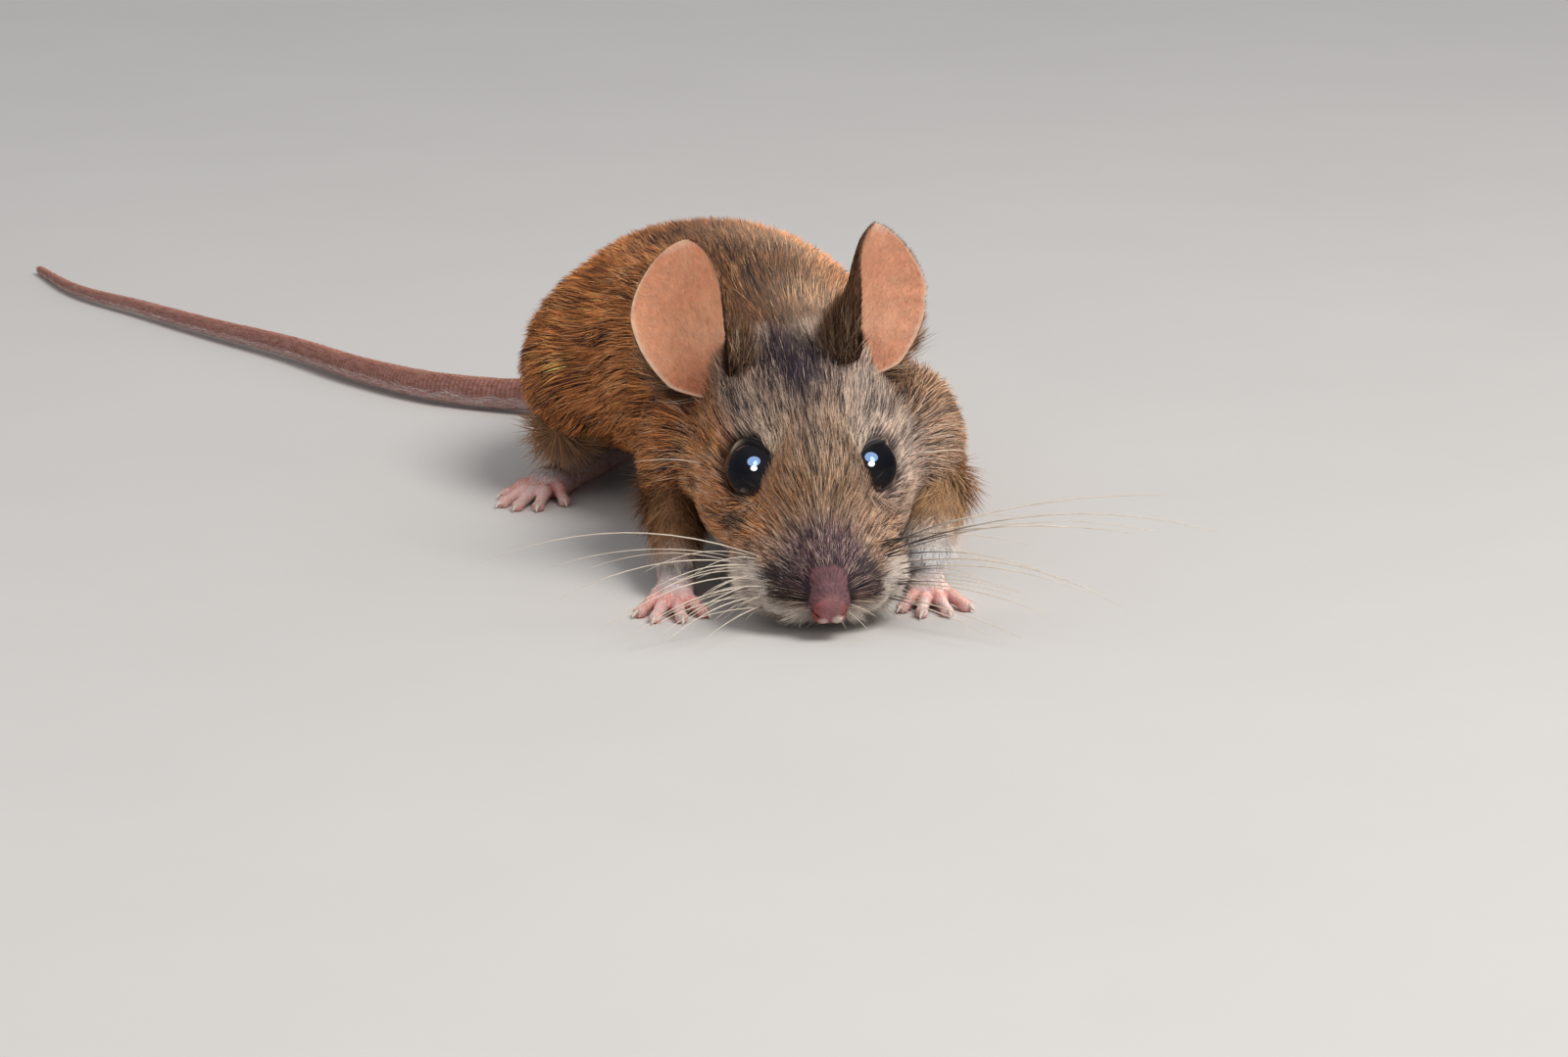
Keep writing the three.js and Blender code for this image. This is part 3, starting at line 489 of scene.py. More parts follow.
def field_surface(field, low, high, square):
    """Points, outward normals and triangles of a field's zero level inside a box."""
    block = 4  # fine squares along one coarse square
    low = np.array(low, float)
    cells = np.ceil((np.array(high) - low) / (block * square)).astype(int)
    corners = grid_points([low[a] + block * square * np.arange(cells[a] + 1) for a in range(3)])
    coarse = in_batches(field, corners).reshape(cells + 1)
    # The field is worked out in fine squares only where the coarse ones say that it is close.
    reach = block * square * 1.4
    values = np.full(cells * block + 1, reach)
    values[:-1, :-1, :-1] = np.kron(coarse[:-1, :-1, :-1], np.ones((block,) * 3))
    closeness = np.abs(coarse)
    for axis in range(3):
        pair = np.delete(closeness, -1, axis), np.delete(closeness, 0, axis)
        closeness = np.minimum(*pair)
    crossed = np.argwhere(closeness < reach)
    inner = grid_points([np.arange(block)] * 3)
    fine = (crossed[:, None, :] * block + inner[None]).reshape(-1, 3)
    values[tuple(fine.T)] = in_batches(field, low + fine * square)
    grid = vdb.FloatGrid(reach)
    grid.copyFromArray(np.ascontiguousarray(values, np.float32))
    points, quads = grid.convertToQuads(isovalue=0.0)
    points = low + np.asarray(points, float) * square
    quads = np.asarray(quads, np.int64)
    for _ in range(2):
        slope = slope_of(field, points)
        move = in_batches(field, points) / np.maximum((slope**2).sum(1), 0.3)
        points = points - np.clip(move[:, None] * slope, -0.4 * square, 0.4 * square)
    triangles = np.concatenate([quads[:, [0, 1, 2]], quads[:, [0, 2, 3]]])
    return outward(points, unit(slope_of(field, points)), triangles)


def outward(points, normals, triangles):
    """The same surface with its triangles wound so that they face along the normals."""
    a, b, c = (points[triangles[:, k]] for k in range(3))
    facing = np.einsum("ij,ij->i", np.cross(b - a, c - a), normals[triangles].sum(1))
    if facing.sum() < 0:
        triangles = triangles[:, ::-1].copy()
    return points, normals, triangles


def sheet_triangles(rows, columns, wrap=False):
    """Triangles of a grid of rows by columns points; wrap joins the last column to the first."""
    r, c = np.meshgrid(np.arange(rows - 1), np.arange(columns - (not wrap)), indexing="ij")
    r, c = r.ravel(), c.ravel()
    d = (c + 1) % columns
    a, b = r * columns + c, r * columns + d
    e, f = (r + 1) * columns + d, (r + 1) * columns + c
    return np.concatenate([np.stack([a, b, e], 1), np.stack([a, e, f], 1)])


def ring(sides):
    return np.linspace(0, 2 * math.pi, sides, endpoint=False)


def spokes(first, second, sides):
    """Directions round a circle, from the first way towards the second, for each row."""
    turn = ring(sides)[None, :, None]
    return first[:, None] * np.cos(turn) + second[:, None] * np.sin(turn)


def tube(points, directions, radii, sides, up=(0, 0, 1)):
    """Points, normals and triangles of a tube round a line."""
    across = unit(np.cross(np.broadcast_to(up, directions.shape), directions))
    spoke = spokes(across, np.cross(directions, across), sides)
    skin = points[:, None] + spoke * radii[:, None, None]
    return skin.reshape(-1, 3), spoke.reshape(-1, 3), sheet_triangles(len(points), sides, wrap=True)


def joined(parts):
    """Columns of one mesh from those of several: points, triangles, and others like points."""
    starts = np.cumsum([0] + [len(part[0]) for part in parts])
    columns = [np.concatenate(column) for column in zip(*parts)]
    columns[1] = np.concatenate([part[1] + start for part, start in zip(parts, starts)])
    return columns


# ---------------------------------------------------------------- meshes and materials


def new_piece(name, points, triangles, material, colours, uv=None, bare=None):
    """A mesh object from points in the design frame, riding on the body, with its colours."""
    mesh = bpy.data.meshes.new(name)
    mesh.vertices.add(len(points))
    mesh.vertices.foreach_set("co", ((points + ORIGIN) * MM).astype(np.float32).ravel())
    mesh.loops.add(triangles.size)
    mesh.loops.foreach_set("vertex_index", triangles.astype(np.int32).ravel())
    mesh.polygons.add(len(triangles))
    mesh.polygons.foreach_set("loop_start", np.arange(0, triangles.size, 3, dtype=np.int32))
    mesh.polygons.foreach_set("use_smooth", np.ones(len(triangles), bool))
    mesh.update(calc_edges=True)
    rgba = np.ones((len(points), 4), np.float32)
    rgba[:, :3] = np.clip(colours, 0, 1)
    layer = mesh.color_attributes.new("Col", "FLOAT_COLOR", "POINT")
    layer.data.foreach_set("color", rgba.ravel())
    if bare is not None:
        layer = mesh.attributes.new("Bare", "FLOAT", "POINT")
        layer.data.foreach_set("value", bare.astype(np.float32))
    if uv is not None:
        layer = mesh.uv_layers.new(name="OFBake")
        layer.data.foreach_set("uv", uv[triangles.ravel()].astype(np.float32).ravel())
    mesh.materials.append(material)
    piece = new_object(name, mesh)
    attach(piece, "root")
    return piece


def new_object(name, data):
    thing = bpy.data.objects.new(name, data)
    bpy.context.scene.collection.objects.link(thing)
    return thing


class Nodes:
    """A small wrapper for building a node material."""

    def __init__(self, name):
        self.material = bpy.data.materials.new(name)
        self.material.use_nodes = True
        self.tree = self.material.node_tree
        self.shader = self.tree.nodes["Principled BSDF"]
        self.coordinates = self.add("ShaderNodeTexCoord").outputs["Object"]

    def add(self, kind, output=None, links=(), **values):
        """A new node with its values and (socket, source) links; its output, if one is named."""
        node = self.tree.nodes.new(kind)
        for key, value in values.items():
            if hasattr(node, key):
                setattr(node, key, value)
            else:
                node.inputs[key.replace("_", " ")].default_value = value
        for socket, source in links:
            self.tree.links.new(source, node.inputs[socket])
        return node if output is None else node.outputs[output]

    def attribute(self, name, output="Color"):
        return self.add("ShaderNodeAttribute", output, attribute_name=name)

    def noise(self, scale, detail=3.0):
        at = [("Vector", self.coordinates)]
        return self.add("ShaderNodeTexNoise", "Fac", at, Scale=scale, Detail=detail, Roughness=0.6)

    def shaded(self, colour, contrast, scale, detail=3.0):
        """A colour made lighter and darker by this share of itself, in a noise."""
        low, high = 1 - contrast, 1 + contrast
        noise = [("Value", self.noise(scale, detail))]
        shade = self.add(
            "ShaderNodeMapRange", "Result", noise, From_Min=0.3, From_Max=0.7, To_Min=low, To_Max=high
        )
        return self.times(colour, shade)

    def times(self, colour, value):
        links = [(0, colour), ("Scale", value)]
        return self.add("ShaderNodeVectorMath", "Vector", links, operation="SCALE")

    def bump(self, height, distance, strength):
        normal = self.add(
            "ShaderNodeBump", "Normal", [("Height", height)], Strength=strength, Distance=distance
        )
        self.tree.links.new(normal, self.shader.inputs["Normal"])

    def finish(self, colour, **values):
        self.tree.links.new(colour, self.shader.inputs["Base Color"])
        for key, value in values.items():
            self.shader.inputs[key.replace("_", " ")].default_value = value
        return self.material


def plain_material(name, contrast, scale, detail=3.0, **values):
    """A material in a piece's own colours, shaded by a fine noise."""
    n = Nodes(name)
    return n.finish(n.shaded(n.attribute("Col"), contrast, scale, detail), **values)


def skin_material():
    n = Nodes("skin")
    links = [(0, n.noise(2600.0, 4.0)), (1, n.attribute("Bare", "Fac"))]
    n.bump(n.add("ShaderNodeMath", 0, links, operation="MULTIPLY"), 0.00016, 0.6)
    return n.finish(
        n.shaded(n.attribute("Col"), 0.15, 1100.0, 5.0),
        Roughness=0.55,
        Specular_IOR_Level=0.35,
        Subsurface_Weight=0.4,
        Subsurface_Radius=(1.0, 0.4, 0.25),
        Subsurface_Scale=0.0006,
    )


def nose_material():
    n = Nodes("nose_skin")
    at = [("Vector", n.coordinates)]
    n.bump(n.add("ShaderNodeTexVoronoi", "Distance", at, Scale=4200.0), 0.00005, 0.7)
    colour = n.shaded(n.attribute("Col"), 0.15, 1500.0, 4.0)
    return n.finish(colour, Roughness=0.6, Specular_IOR_Level=0.28)


# ---------------------------------------------------------------- markings, for skin and coat


def spine_x(y):
    """Where the spine runs, seen from above."""
    return np.interp(y, [0, 19.5, 31, 43, 54, 69], [-0.5, -2.2, -3.4, -7.6, -9.8, -14.4])


def markings(p):
    """The coat's mean colour at points on the body."""
    h = to_head(p)
    x, y, z = h.T
    off = p[:, 0] - spine_x(p[:, 1])
    off_spine = np.abs(off)

    # Trunk: dark along the back, orange-brown on the flanks, a buff left shoulder that is partly painted
    # light, white below.
    trunk = paint(
        BROWN,
        (ORANGE, 0.6 * ramp(3.0, 9.0, off_spine)),
        # Buff on the left shoulder only: partly painted light, for the side that faces the lamps.
        (BUFF, 0.7 * fall(28, 38, p[:, 1]) * ramp(3.0, 7.0, off)),
        # Orange over the rump: partly its own orange-brown, partly painted glow of light from behind.
        (ORANGE, 0.55 * ramp(46, 60, p[:, 1])),
        (DARK_BROWN, 0.45 * fall(1.5, 6.5, off_spine) * fall(50, 60, p[:, 1])),
        (DARK_BROWN, 0.35 * fall(18, 30, p[:, 1]) * ramp(8, 14, p[:, 2])),
        (WHITE_FUR, fall(3.2, 5.6, p[:, 2])),
    )
    # Head: streaked brown with a dark crown, greyer above the eyes, orange on the right
    # cheek, pale on the left one, a painted shadow under the right eye, dark pads with a cream fringe, and a
    # white throat.
    right = ramp(-1.0, 5.0, -x)
    left = ramp(-1.0, 5.0, x)
    streak = fall(0.2, 1.7, np.abs(x + 0.5) / mix(1.2, 3.0, ramp(-2, 7, y)))
    # Painted shadow: dark brown below the right eye.
    painted_shadow_under_eye = near(h, (-3.4, -2.3, -3.2), (2.5, 3.0, 1.9))
    left_pad = near(h, (2.5, -9.6, -3.7), (2.0, 3.4, 1.8))
    right_pad = near(h, (-2.8, -9.6, -3.7), (2.3, 3.4, 1.9))
    bridge = near(h, (0, -9.4, -2.3), (4.0, 4.6, 2.7))
    fringe = near(h, (4.5, -8.8, -4.8), (1.7, 3.0, 2.6)) + near(h, (-4.7, -8.8, -4.8), (1.7, 3.0, 2.6))
    ear_feet = near(h, (1.3, 8.2, 5.4), (1.6, 2.8, 2.2)) + near(h, (-3.4, 8.2, 5.0), (1.6, 2.8, 2.2))
    jaw = fall(-0.6, 0.6, z + 4.7 + 0.12 * (y + 8.0))
    snout = fall(1.2, 2.8, np.abs(x)) * ramp(-8.0, -6.0, y) * fall(-1.0, 3.0, y)
    head = paint(
        FACE_BROWN,
        (GREY_BUFF, 0.85 * left * ramp(-4.5, 1, y)),
        (GREY_BUFF, 0.6 * right * ramp(-2.0, 1, y) * ramp(-0.5, 2.0, z)),
        (BUFF, 0.5 * snout),
        (ORANGE, 0.95 * right * ramp(-7.0, -4.5, y) * fall(0.0, 2.5, z)),
        (ORANGE, 0.2 * left * ramp(-6.0, -3.0, y) * fall(-3.0, -0.5, z)),
        (DARK_BROWN, np.clip(1.9 * painted_shadow_under_eye, 0, 0.9)),
        (BROWN, 0.45 * ramp(3.0, 9.0, y) * ramp(-4.0, 1.0, z)),
        (CROWN_DARK, streak * (0.5 * ramp(-4.5, -1.5, y) + 0.42 * ramp(-1, 3, y))),
        (GREY_BUFF, 0.8 * ear_feet),
        (PAD_MAUVE, 0.95 * np.clip(1.3 * bridge, 0, 1)),
        (PAD_DARK, 0.75 * np.clip(1.5 * left_pad, 0, 1)),
        (PAD_DARK, 0.9 * np.clip(1.5 * right_pad, 0, 1)),
        (CREAM, np.clip(1.5 * fringe, 0, 0.85)),
        (CREAM, jaw * fall(-3.0, 1.0, y)),
        (NOSE_PINK, 0.9 * near(h, (0, -12.2, -3.5), (1.8, 2.2, 1.7))),
        (WHITE_FUR, fall(-8.6, -6.8, z)),
    )
    for sign in (1, -1):
        orbit = near(h, mirrored(EYE_CENTRE, sign), (3.2, 3.2, 3.2))
        corner = near(h, mirrored((3.0, -0.9, 2.0), sign), (1.3, 1.6, 1.5))
        head = paint(head, (DARK_BROWN, 0.7 * np.clip(1.6 * orbit, 0, 1)), (PALE_STREAK_AND_SHEEN, 0.4 * corner))
    return mix(trunk, head, fall(15, 24, p[:, 1])[:, None])


# ---------------------------------------------------------------- skin: paws


def paw_surface(name):
    """One lower limb with its sole and digits, flat where it rests on the floor."""
    (reach, breadth, height, digits, digit_radius), root, aim = PAWS[name]
    ahead = pointing(aim)
    heel = np.array([*root, height * 0.8])
    toe_line = heel + ahead * reach
    toe_line[2] = height * 0.6
    width = breadth - SOLE_DEPTH
    back = bar(heel - ahead * height * 0.6, width * 0.85, toe_line, width * 0.9)
    front = ball(toe_line + ahead * breadth * 0.35, (width * 0.98, width * 0.9, width * 0.85))
    sole = melted([back, front], 0.8)
    upper, upper_radius, lower, lower_radius = LOWER_LIMBS[name]
    limb = bar(upper, upper_radius - LIMB_DEPTH[0], lower, lower_radius - LIMB_DEPTH[1])
    toes = []
    thick, thin = (radius - DIGIT_DEPTH for radius in digit_radius)
    for fan, length in digits:
        way = pointing(aim + fan)
        start = toe_line + way * breadth * 0.5
        knuckle, joint, tip = (
            np.array([*(start + way * along)[:2], z])
            for along, z in ((-0.4, thick * 1.5), (length * 0.5, thick * 1.45), (length - 0.1, thin * 0.95))
        )
        bones = [
            bar(knuckle, thick * 1.02, joint, thick * 0.8),
            bar(joint, thick * 0.84, tip, thin * 0.86),
            ball(tip - [0, 0, 0.02], (thin * 1.12,) * 3),
        ]
        toes.append(melted(bones, 0.25))
    all_toes = melted(toes, 0.2)
    squash = np.array([1, 1, 1 / SOLE_FLATNESS])

    def distance(p):
        whole = melt(sole(p * squash) * SOLE_FLATNESS, limb(p), 1.2)
        return np.maximum(melt(whole, all_toes(p), 0.55), FLOOR_GAP - p[:, 2])

    ends = np.array([heel, heel + ahead * (reach + 8), upper])
    low = ends.min(0) - [5.5, 3.5, 0]
    low[2] = -0.4
    return field_surface(distance, low, ends.max(0) + [5.5, 3.5, 3.5], PAW_SQUARE)


def limb_colours(name, p):
    """Down of the lower limbs: white at the wrist, and the trunk's brown above it, buff on the left limbs
    and darker on the right ones as painted light and shade.
    """
    white_to = LIMB_WHITE_TO[name]
    # Painted light and shade: buff on the lit left limbs, dark brown on the shaded right ones.
    upper = mix(BROWN, PALE_BUFF, 0.7 if name.endswith("left") else 0.2)
    return paint(WHITE_FUR, (upper, ramp(white_to - 0.6, white_to + 2.4, p[:, 2])))


def paw_colours(name, p):
    kind, root, aim = PAWS[name]
    along = (p[:, :2] - np.array(root)) @ pointing(aim)[:2] - kind[0]
    skin = paint(
        PAW_PINK,
        (PAW_RED, 0.55 * ramp(0.8, 2.2, along) * fall(2.6, 4.2, along)),
        (PAW_RED, 0.35 * fall(0.1, 0.8, p[:, 2])),
        # Painted shade: every paw but the lit left forefoot is made redder and darker.
        (PAW_RED, 0.0 if name == "forefoot_left" else 0.22),
    )
    return mix(skin, limb_colours(name, p) * 0.6, ramp(1.8, 3.6, p[:, 2])[:, None])


# ---------------------------------------------------------------- skin: ears


def ear_frame(name):
    """Foot, rise, and the ear's up, forward and across directions, in the body frame."""
    root, tip, facing = (np.array(v, float) for v in EARS[name])
    up = unit(tip - root)
    forward = unit(facing - up * (facing @ up))
    ways = (tip - root, up, forward, np.cross(up, forward))
    return (from_head(root), *(turned_from_head(way) for way in ways))


def bell(value, middle, width):
    return np.exp(-(((value - middle) / width) ** 2))


def ear_point(name, s, u):
    """A point of the ear's middle sheet: s from root to tip, u from margin to margin."""
    start, rise, _, forward, across = ear_frame(name)
    top = np.maximum(0, s - EAR_ROUND_FROM) / (1.003 - EAR_ROUND_FROM)
    leaf = np.sin(math.pi * (0.14 + 0.62 * s)) ** 0.6 * mix(0.62, 1.0, ramp(-0.05, 0.2, s))
    half = EAR_HALF_WIDTH * leaf * np.sqrt(1 - top**2)
    notch = EAR_NOTCH if name == "left" else 0.0
    half = half * (1 - notch * bell(s, 0.62, 0.03) * ramp(0.5, 1.0, u * SIDES[name]))
    curl = np.radians(mix(EAR_CURL[0], EAR_CURL[1], s**0.6))
    radius = half / curl
    ripple = 0.1 * np.sin(9 * s + 2.5 * u) * s * np.abs(u) ** 3
    fold = 0.35 * bell(u, 0.55, 0.16) * fall(0.15, 0.55, s)
    lift = radius * (1 - np.cos(curl * u)) - EAR_BACKWARD_BOW * s**2 + ripple + fold
    point = start + rise * s[:, None] + across * (radius * np.sin(curl * u))[:, None]
    return point + forward * lift[:, None]


def ear_surface(name, rows=90, columns=65):
    """A thin closed shell of two sheets; then each point's s and u, and the inner's count."""
    s_line = 1 - (1 - np.linspace(0.0, 1.0, rows)) ** 1.6
    u_line = np.sin(np.linspace(-math.pi / 2, math.pi / 2, columns))
    s, u = (a.ravel() for a in np.meshgrid(s_line, u_line, indexing="ij"))
    middle = ear_point(name, s, u)
    right, left = (np.clip(u + step, -1, 1) for step in (1e-3, -1e-3))
    above, below = (np.clip(s + step, 0, 1) for step in (1e-3, -1e-3))
    du = ear_point(name, s, right) - ear_point(name, s, left)
    ds = ear_point(name, above, u) - ear_point(name, below, u)
    out = unit(np.cross(du, ds))
    # The sheet is thick at the foot and thins to a rounded margin.
    margin = np.sqrt(np.maximum(1 - u**2, 0)) * np.sqrt(np.maximum(1 - s**8, 0))
    half = 0.5 * mix(EAR_THICKNESS[0], EAR_THICKNESS[1], ramp(0, 0.7, s)) * np.sqrt(margin)
    shell = out * half[:, None]
    sheet = sheet_triangles(rows, columns)
    points = np.concatenate([middle + shell, middle - shell])
    triangles = np.concatenate([sheet, sheet[:, ::-1] + len(s)])
    return points, np.concatenate([out, -out]), triangles, np.tile(s, 2), np.tile(u, 2), len(s)


def ear_colours(name, s, u, inner_side):
    """Warm pink inside, partly painted glow of light shining through, redder at the foot, with a pale rim;
    brown behind.
    """
    medial = ramp(0.5, 0.95, -u * SIDES[name])
    inside = paint(
        EAR_PINK_AND_GLOW,
        (EAR_PALE, 0.3 * np.exp(-(((s - 0.33) / 0.12) ** 2 + ((u - 0.1) / 0.35) ** 2))),
        (EAR_RED, 0.55 * fall(0.08, 0.42, s)),
        (EAR_RED, 0.22 * bell(s, 0.75, 0.2)),
        (EAR_RED, 0.09 * (1 + np.sin(13 * s + 4 * u) * np.sin(9 * u - 6 * s + 1.0))),
        (EAR_PALE, 0.6 * ramp(0.93, 0.985, np.maximum(np.abs(u), s))),
        (DARK_BROWN, 0.85 * medial * ramp(0.86, 0.95, np.abs(u))),
    )
    behind = paint(EAR_BACK, (BROWN, 0.6 * fall(0.2, 0.7, s)), (DARK_BROWN, 0.6 * medial))
    # Each ear's tone is painted light and shade.
    return np.where(inner_side[:, None], np.minimum(inside * EAR_PAINTED_LIGHT[name], 0.97), behind)


# ---------------------------------------------------------------- skin: lids and tail


def lid_surface(name, around=120, sides=12):
    """The moist margin of the lids, a thin ring that hugs the eyeball."""
    axis, level, high = eye_frame(name)
    turn = ring(around)
    to_outer = np.cos(turn - BROW_TURN)  # 1 at the outer corner, -1 at the inner one
    # The opening is round, drawn out to a small point at its inner and outer corners.
    pull = np.maximum(0, -to_outer) ** 9 * 0.34 + np.maximum(0, to_outer) ** 9 * 0.16
    plane = LID_PLANE + lid_droop(name, np.sin(turn)) - pull * 0.9
    spread = np.sqrt((EYE_RADIUS + 0.05) ** 2 - plane**2) + pull * 0.35
    outwards = spokes(level[None], high[None], around)[0]
    centre = EYE_CENTRES[name] + axis * plane[:, None] + outwards * spread[:, None]
    thick = 0.15 + 0.13 * np.sin(turn) ** 2 + 0.05 * np.maximum(0, -to_outer) ** 5
    spoke = spokes(outwards, axis[None], sides)
    points = (centre[:, None] + spoke * thick[:, None, None]).reshape(-1, 3)
    normals = spoke.reshape(-1, 3)
    triangles = sheet_triangles(around + 1, sides, wrap=True) % (around * sides)
    facing = normals @ axis
    pink = np.repeat(np.maximum(0, -to_outer) ** 6, sides)
    # Painted highlight: a lighter pink line on the lower rim's inner face, for the shine of its wet film.
    painted_wet_line = np.repeat(np.maximum(0, -np.sin(turn)) ** 3, sides) * (facing > 0.5)
    # Painted highlight: a pale gleam on the upper outer part of the rim.
    painted_highlight = np.repeat(np.maximum(0, np.cos(turn - LID_HIGHLIGHT_TURN)) ** 14, sides) * (facing > 0.75)
    layers = (LID_PINK, 0.8 * pink), (LID_PINK, 0.7 * painted_wet_line), (PALE_STREAK_AND_SHEEN, 0.5 * painted_highlight)
    points, _, triangles = outward(points, normals, triangles)
    return points, triangles, paint(LID_DARK, *layers)


def through(points):
    """A centripetal Catmull-Rom curve through the points, finely stepped."""
    p = np.array(points, float)
    p = np.concatenate([[2 * p[0] - p[1]], p, [2 * p[-1] - p[-2]]])
    line = []
    for a, b, c, d in zip(p, p[1:], p[2:], p[3:]):
        first, middle, last = (math.sqrt(np.linalg.norm(q - r)) for q, r in ((b, a), (c, b), (d, c)))
        leave = (b - a) / first - (c - a) / (first + middle) + (c - b) / middle
        arrive = (c - b) / middle - (d - b) / (middle + last) + (d - c) / last
        leave, arrive = leave * middle, arrive * middle
        square = 3 * (c - b) - 2 * leave - arrive
        cube = 2 * (b - c) + leave + arrive
        line += [b + leave * t + square * t**2 + cube * t**3 for t in np.linspace(0, 1, 60, endpoint=False)]
    line.append(p[-2])
    return np.array(line)


def along_line(line, shares):
    """Points and directions at shares of a line's length."""
    lengths = np.concatenate([[0], np.cumsum(size(np.diff(line, axis=0)))])
    lengths /= lengths[-1]
    points = np.stack([np.interp(shares, lengths, line[:, a]) for a in range(3)], 1)
    return points, unit(np.gradient(points, axis=0))


def tail_surface(rings=210, steps=4, sides=16):
    """The tail with its fine rings of scales; then each point's share of it and of its ring."""
    shares = np.linspace(0, 0.999, rings * steps)
    points, directions = along_line(through(TAIL_ROUTE), shares)
    phase = (np.arange(rings * steps) % steps) / steps
    radii = mix(TAIL_RADIUS[0], TAIL_RADIUS[1], shares**0.8) - TAIL_DEPTH
    points[:, 2] = np.maximum(points[:, 2], radii + FLOOR_GAP + 0.02)
    radii = radii * (1 + 0.05 * (phase - 0.5))
    radii[-6:] *= np.linspace(0.9, 0.1, 6)
    surface = outward(*tube(points, directions, radii, sides))
    return *surface, np.repeat(shares, sides), np.repeat(phase, sides)


# ---------------------------------------------------------------- hair


class Hairs:
    """Roots of many hairs, how each lies along the skin, and its style, one row each."""

    def __init__(self, roots, normals, lie, **style):
        self.roots, self.normals = roots, normals
        self.lie = unit(lie - normals * (lie * normals).sum(1, keepdims=True))
        for key, value in style.items():
            setattr(self, key, np.broadcast_to(value, len(roots)))


def scattered(surface, density, rng):
    """Evenly scattered roots: positions, normals and the triangle each one is on."""
    points, normals, triangles = surface
    a, b, c = (points[triangles[:, k]] for k in range(3))
    area = 0.5 * np.linalg.norm(np.cross(b - a, c - a), axis=1)
    weight = area * (density((a + b + c) / 3) if callable(density) else density)
    total = np.cumsum(weight)
    count = int(total[-1])
    picks = np.searchsorted(total, (np.arange(count) + rng.random(count)) * total[-1] / count)
    picks = np.minimum(picks, len(triangles) - 1)
    p, q = rng.random(count), rng.random(count)
    fold = p + q > 1
    p, q = np.where(fold, 1 - p, p), np.where(fold, 1 - q, q)
    shares = np.stack([1 - p - q, p, q], 1)[..., None]
    roots = (points[triangles[picks]] * shares).sum(1)
    return roots, unit((normals[triangles[picks]] * shares).sum(1)), picks


def hair_curves(hairs, steps, rng, surface=None):
    """Points along each hair. With a surface field, each hair hugs it at its own height."""
    count = len(hairs.roots)
    swing = (rng.normal(0, 1, count) * hairs.stray)[:, None]
    side = np.cross(hairs.normals, hairs.lie)
    lie = unit(hairs.lie * np.cos(swing) + side * np.sin(swing))
    bow = rng.normal(0, 1, count) * hairs.bow
    curves = np.empty((count, steps + 1, 3))
    for k in range(steps + 1):
        t = k / steps
        forward = lie * (hairs.length * t)[:, None]
        height = (hairs.length * (hairs.lift * t - 0.5 * hairs.lift * t**2))[:, None]
        sideways = side * (hairs.length * bow * t**2)[:, None]
        curves[:, k] = hairs.roots + forward + hairs.normals * height + sideways
    if surface is not None:
        base = surface(hairs.roots)
        for k in range(1, steps + 1):
            wanted = base + hairs.rise * (k / steps) ** 0.75
            for _ in range(2):
                off = wanted - in_batches(surface, curves[:, k])
                curves[:, k] += hairs.normals * np.clip(off, -2.5, 2.5)[:, None]
    return curves


def tufts(roots, width, rng, blur=TUFT_BLUR):
    """The tuft that each hair belongs to, and the hair that leads each tuft."""
    cell = np.floor((roots + rng.normal(0, blur, roots.shape) * width) / width).astype(np.int64)
    key = (cell[:, 0] * 4096 + cell[:, 1]) * 4096 + cell[:, 2]
    _, leaders, member = np.unique(key, return_index=True, return_inverse=True)
    return member.ravel(), leaders


def blades(curves, normals, widths, colours, roll, uv):
    """Thin tapering blades round the curves: points, triangles, normals, colours, map places."""
    count, rows = curves.shape[:2]
    steps = rows - 1
    along = unit(curves[:, 1:] - curves[:, :-1])
    across = unit(np.cross(along[:, 0], normals))
    above = np.cross(across, along[:, 0])
    turned = across * np.cos(roll)[:, None] + above * np.sin(roll)[:, None]
    per_blade = 2 * steps + 1
    points, facing, tints, places = (np.empty((count, per_blade, n)) for n in (3, 3, 3, 2))
    for k in range(steps):
        half = 0.5 * widths * BLADE_TAPER[steps][k]
        upright = unit(normals - along[:, k] * (normals * along[:, k]).sum(1, keepdims=True))
        for edge, sign in ((2 * k, -1), (2 * k + 1, 1)):
            points[:, edge] = curves[:, k] + turned * (sign * half)[:, None]
            facing[:, edge] = unit(0.5 * normals + 0.5 * upright + 0.3 * sign * across)
            tints[:, edge] = colours[:, k]
            places[:, edge] = uv + [PATCH[0] * sign, 2 * PATCH[1] * k / steps - PATCH[1]]
    points[:, -1] = curves[:, -1]
    facing[:, -1] = unit(0.5 * normals + 0.5 * upright)
    tints[:, -1] = colours[:, -1]
    places[:, -1] = uv + [0, PATCH[1]]
    pattern = []
    for a in range(0, 2 * steps - 2, 2):
        pattern += [(a, a + 1, a + 3), (a, a + 3, a + 2)]
    pattern = np.array(pattern + [(2 * steps - 2, 2 * steps - 1, 2 * steps)])
    triangles = (np.arange(count)[:, None, None] * per_blade + pattern[None]).reshape(-1, 3)
    points, facing, tints, places = (a.reshape(-1, a.shape[-1]) for a in (points, facing, tints, places))
    return points, triangles, facing, tints, places


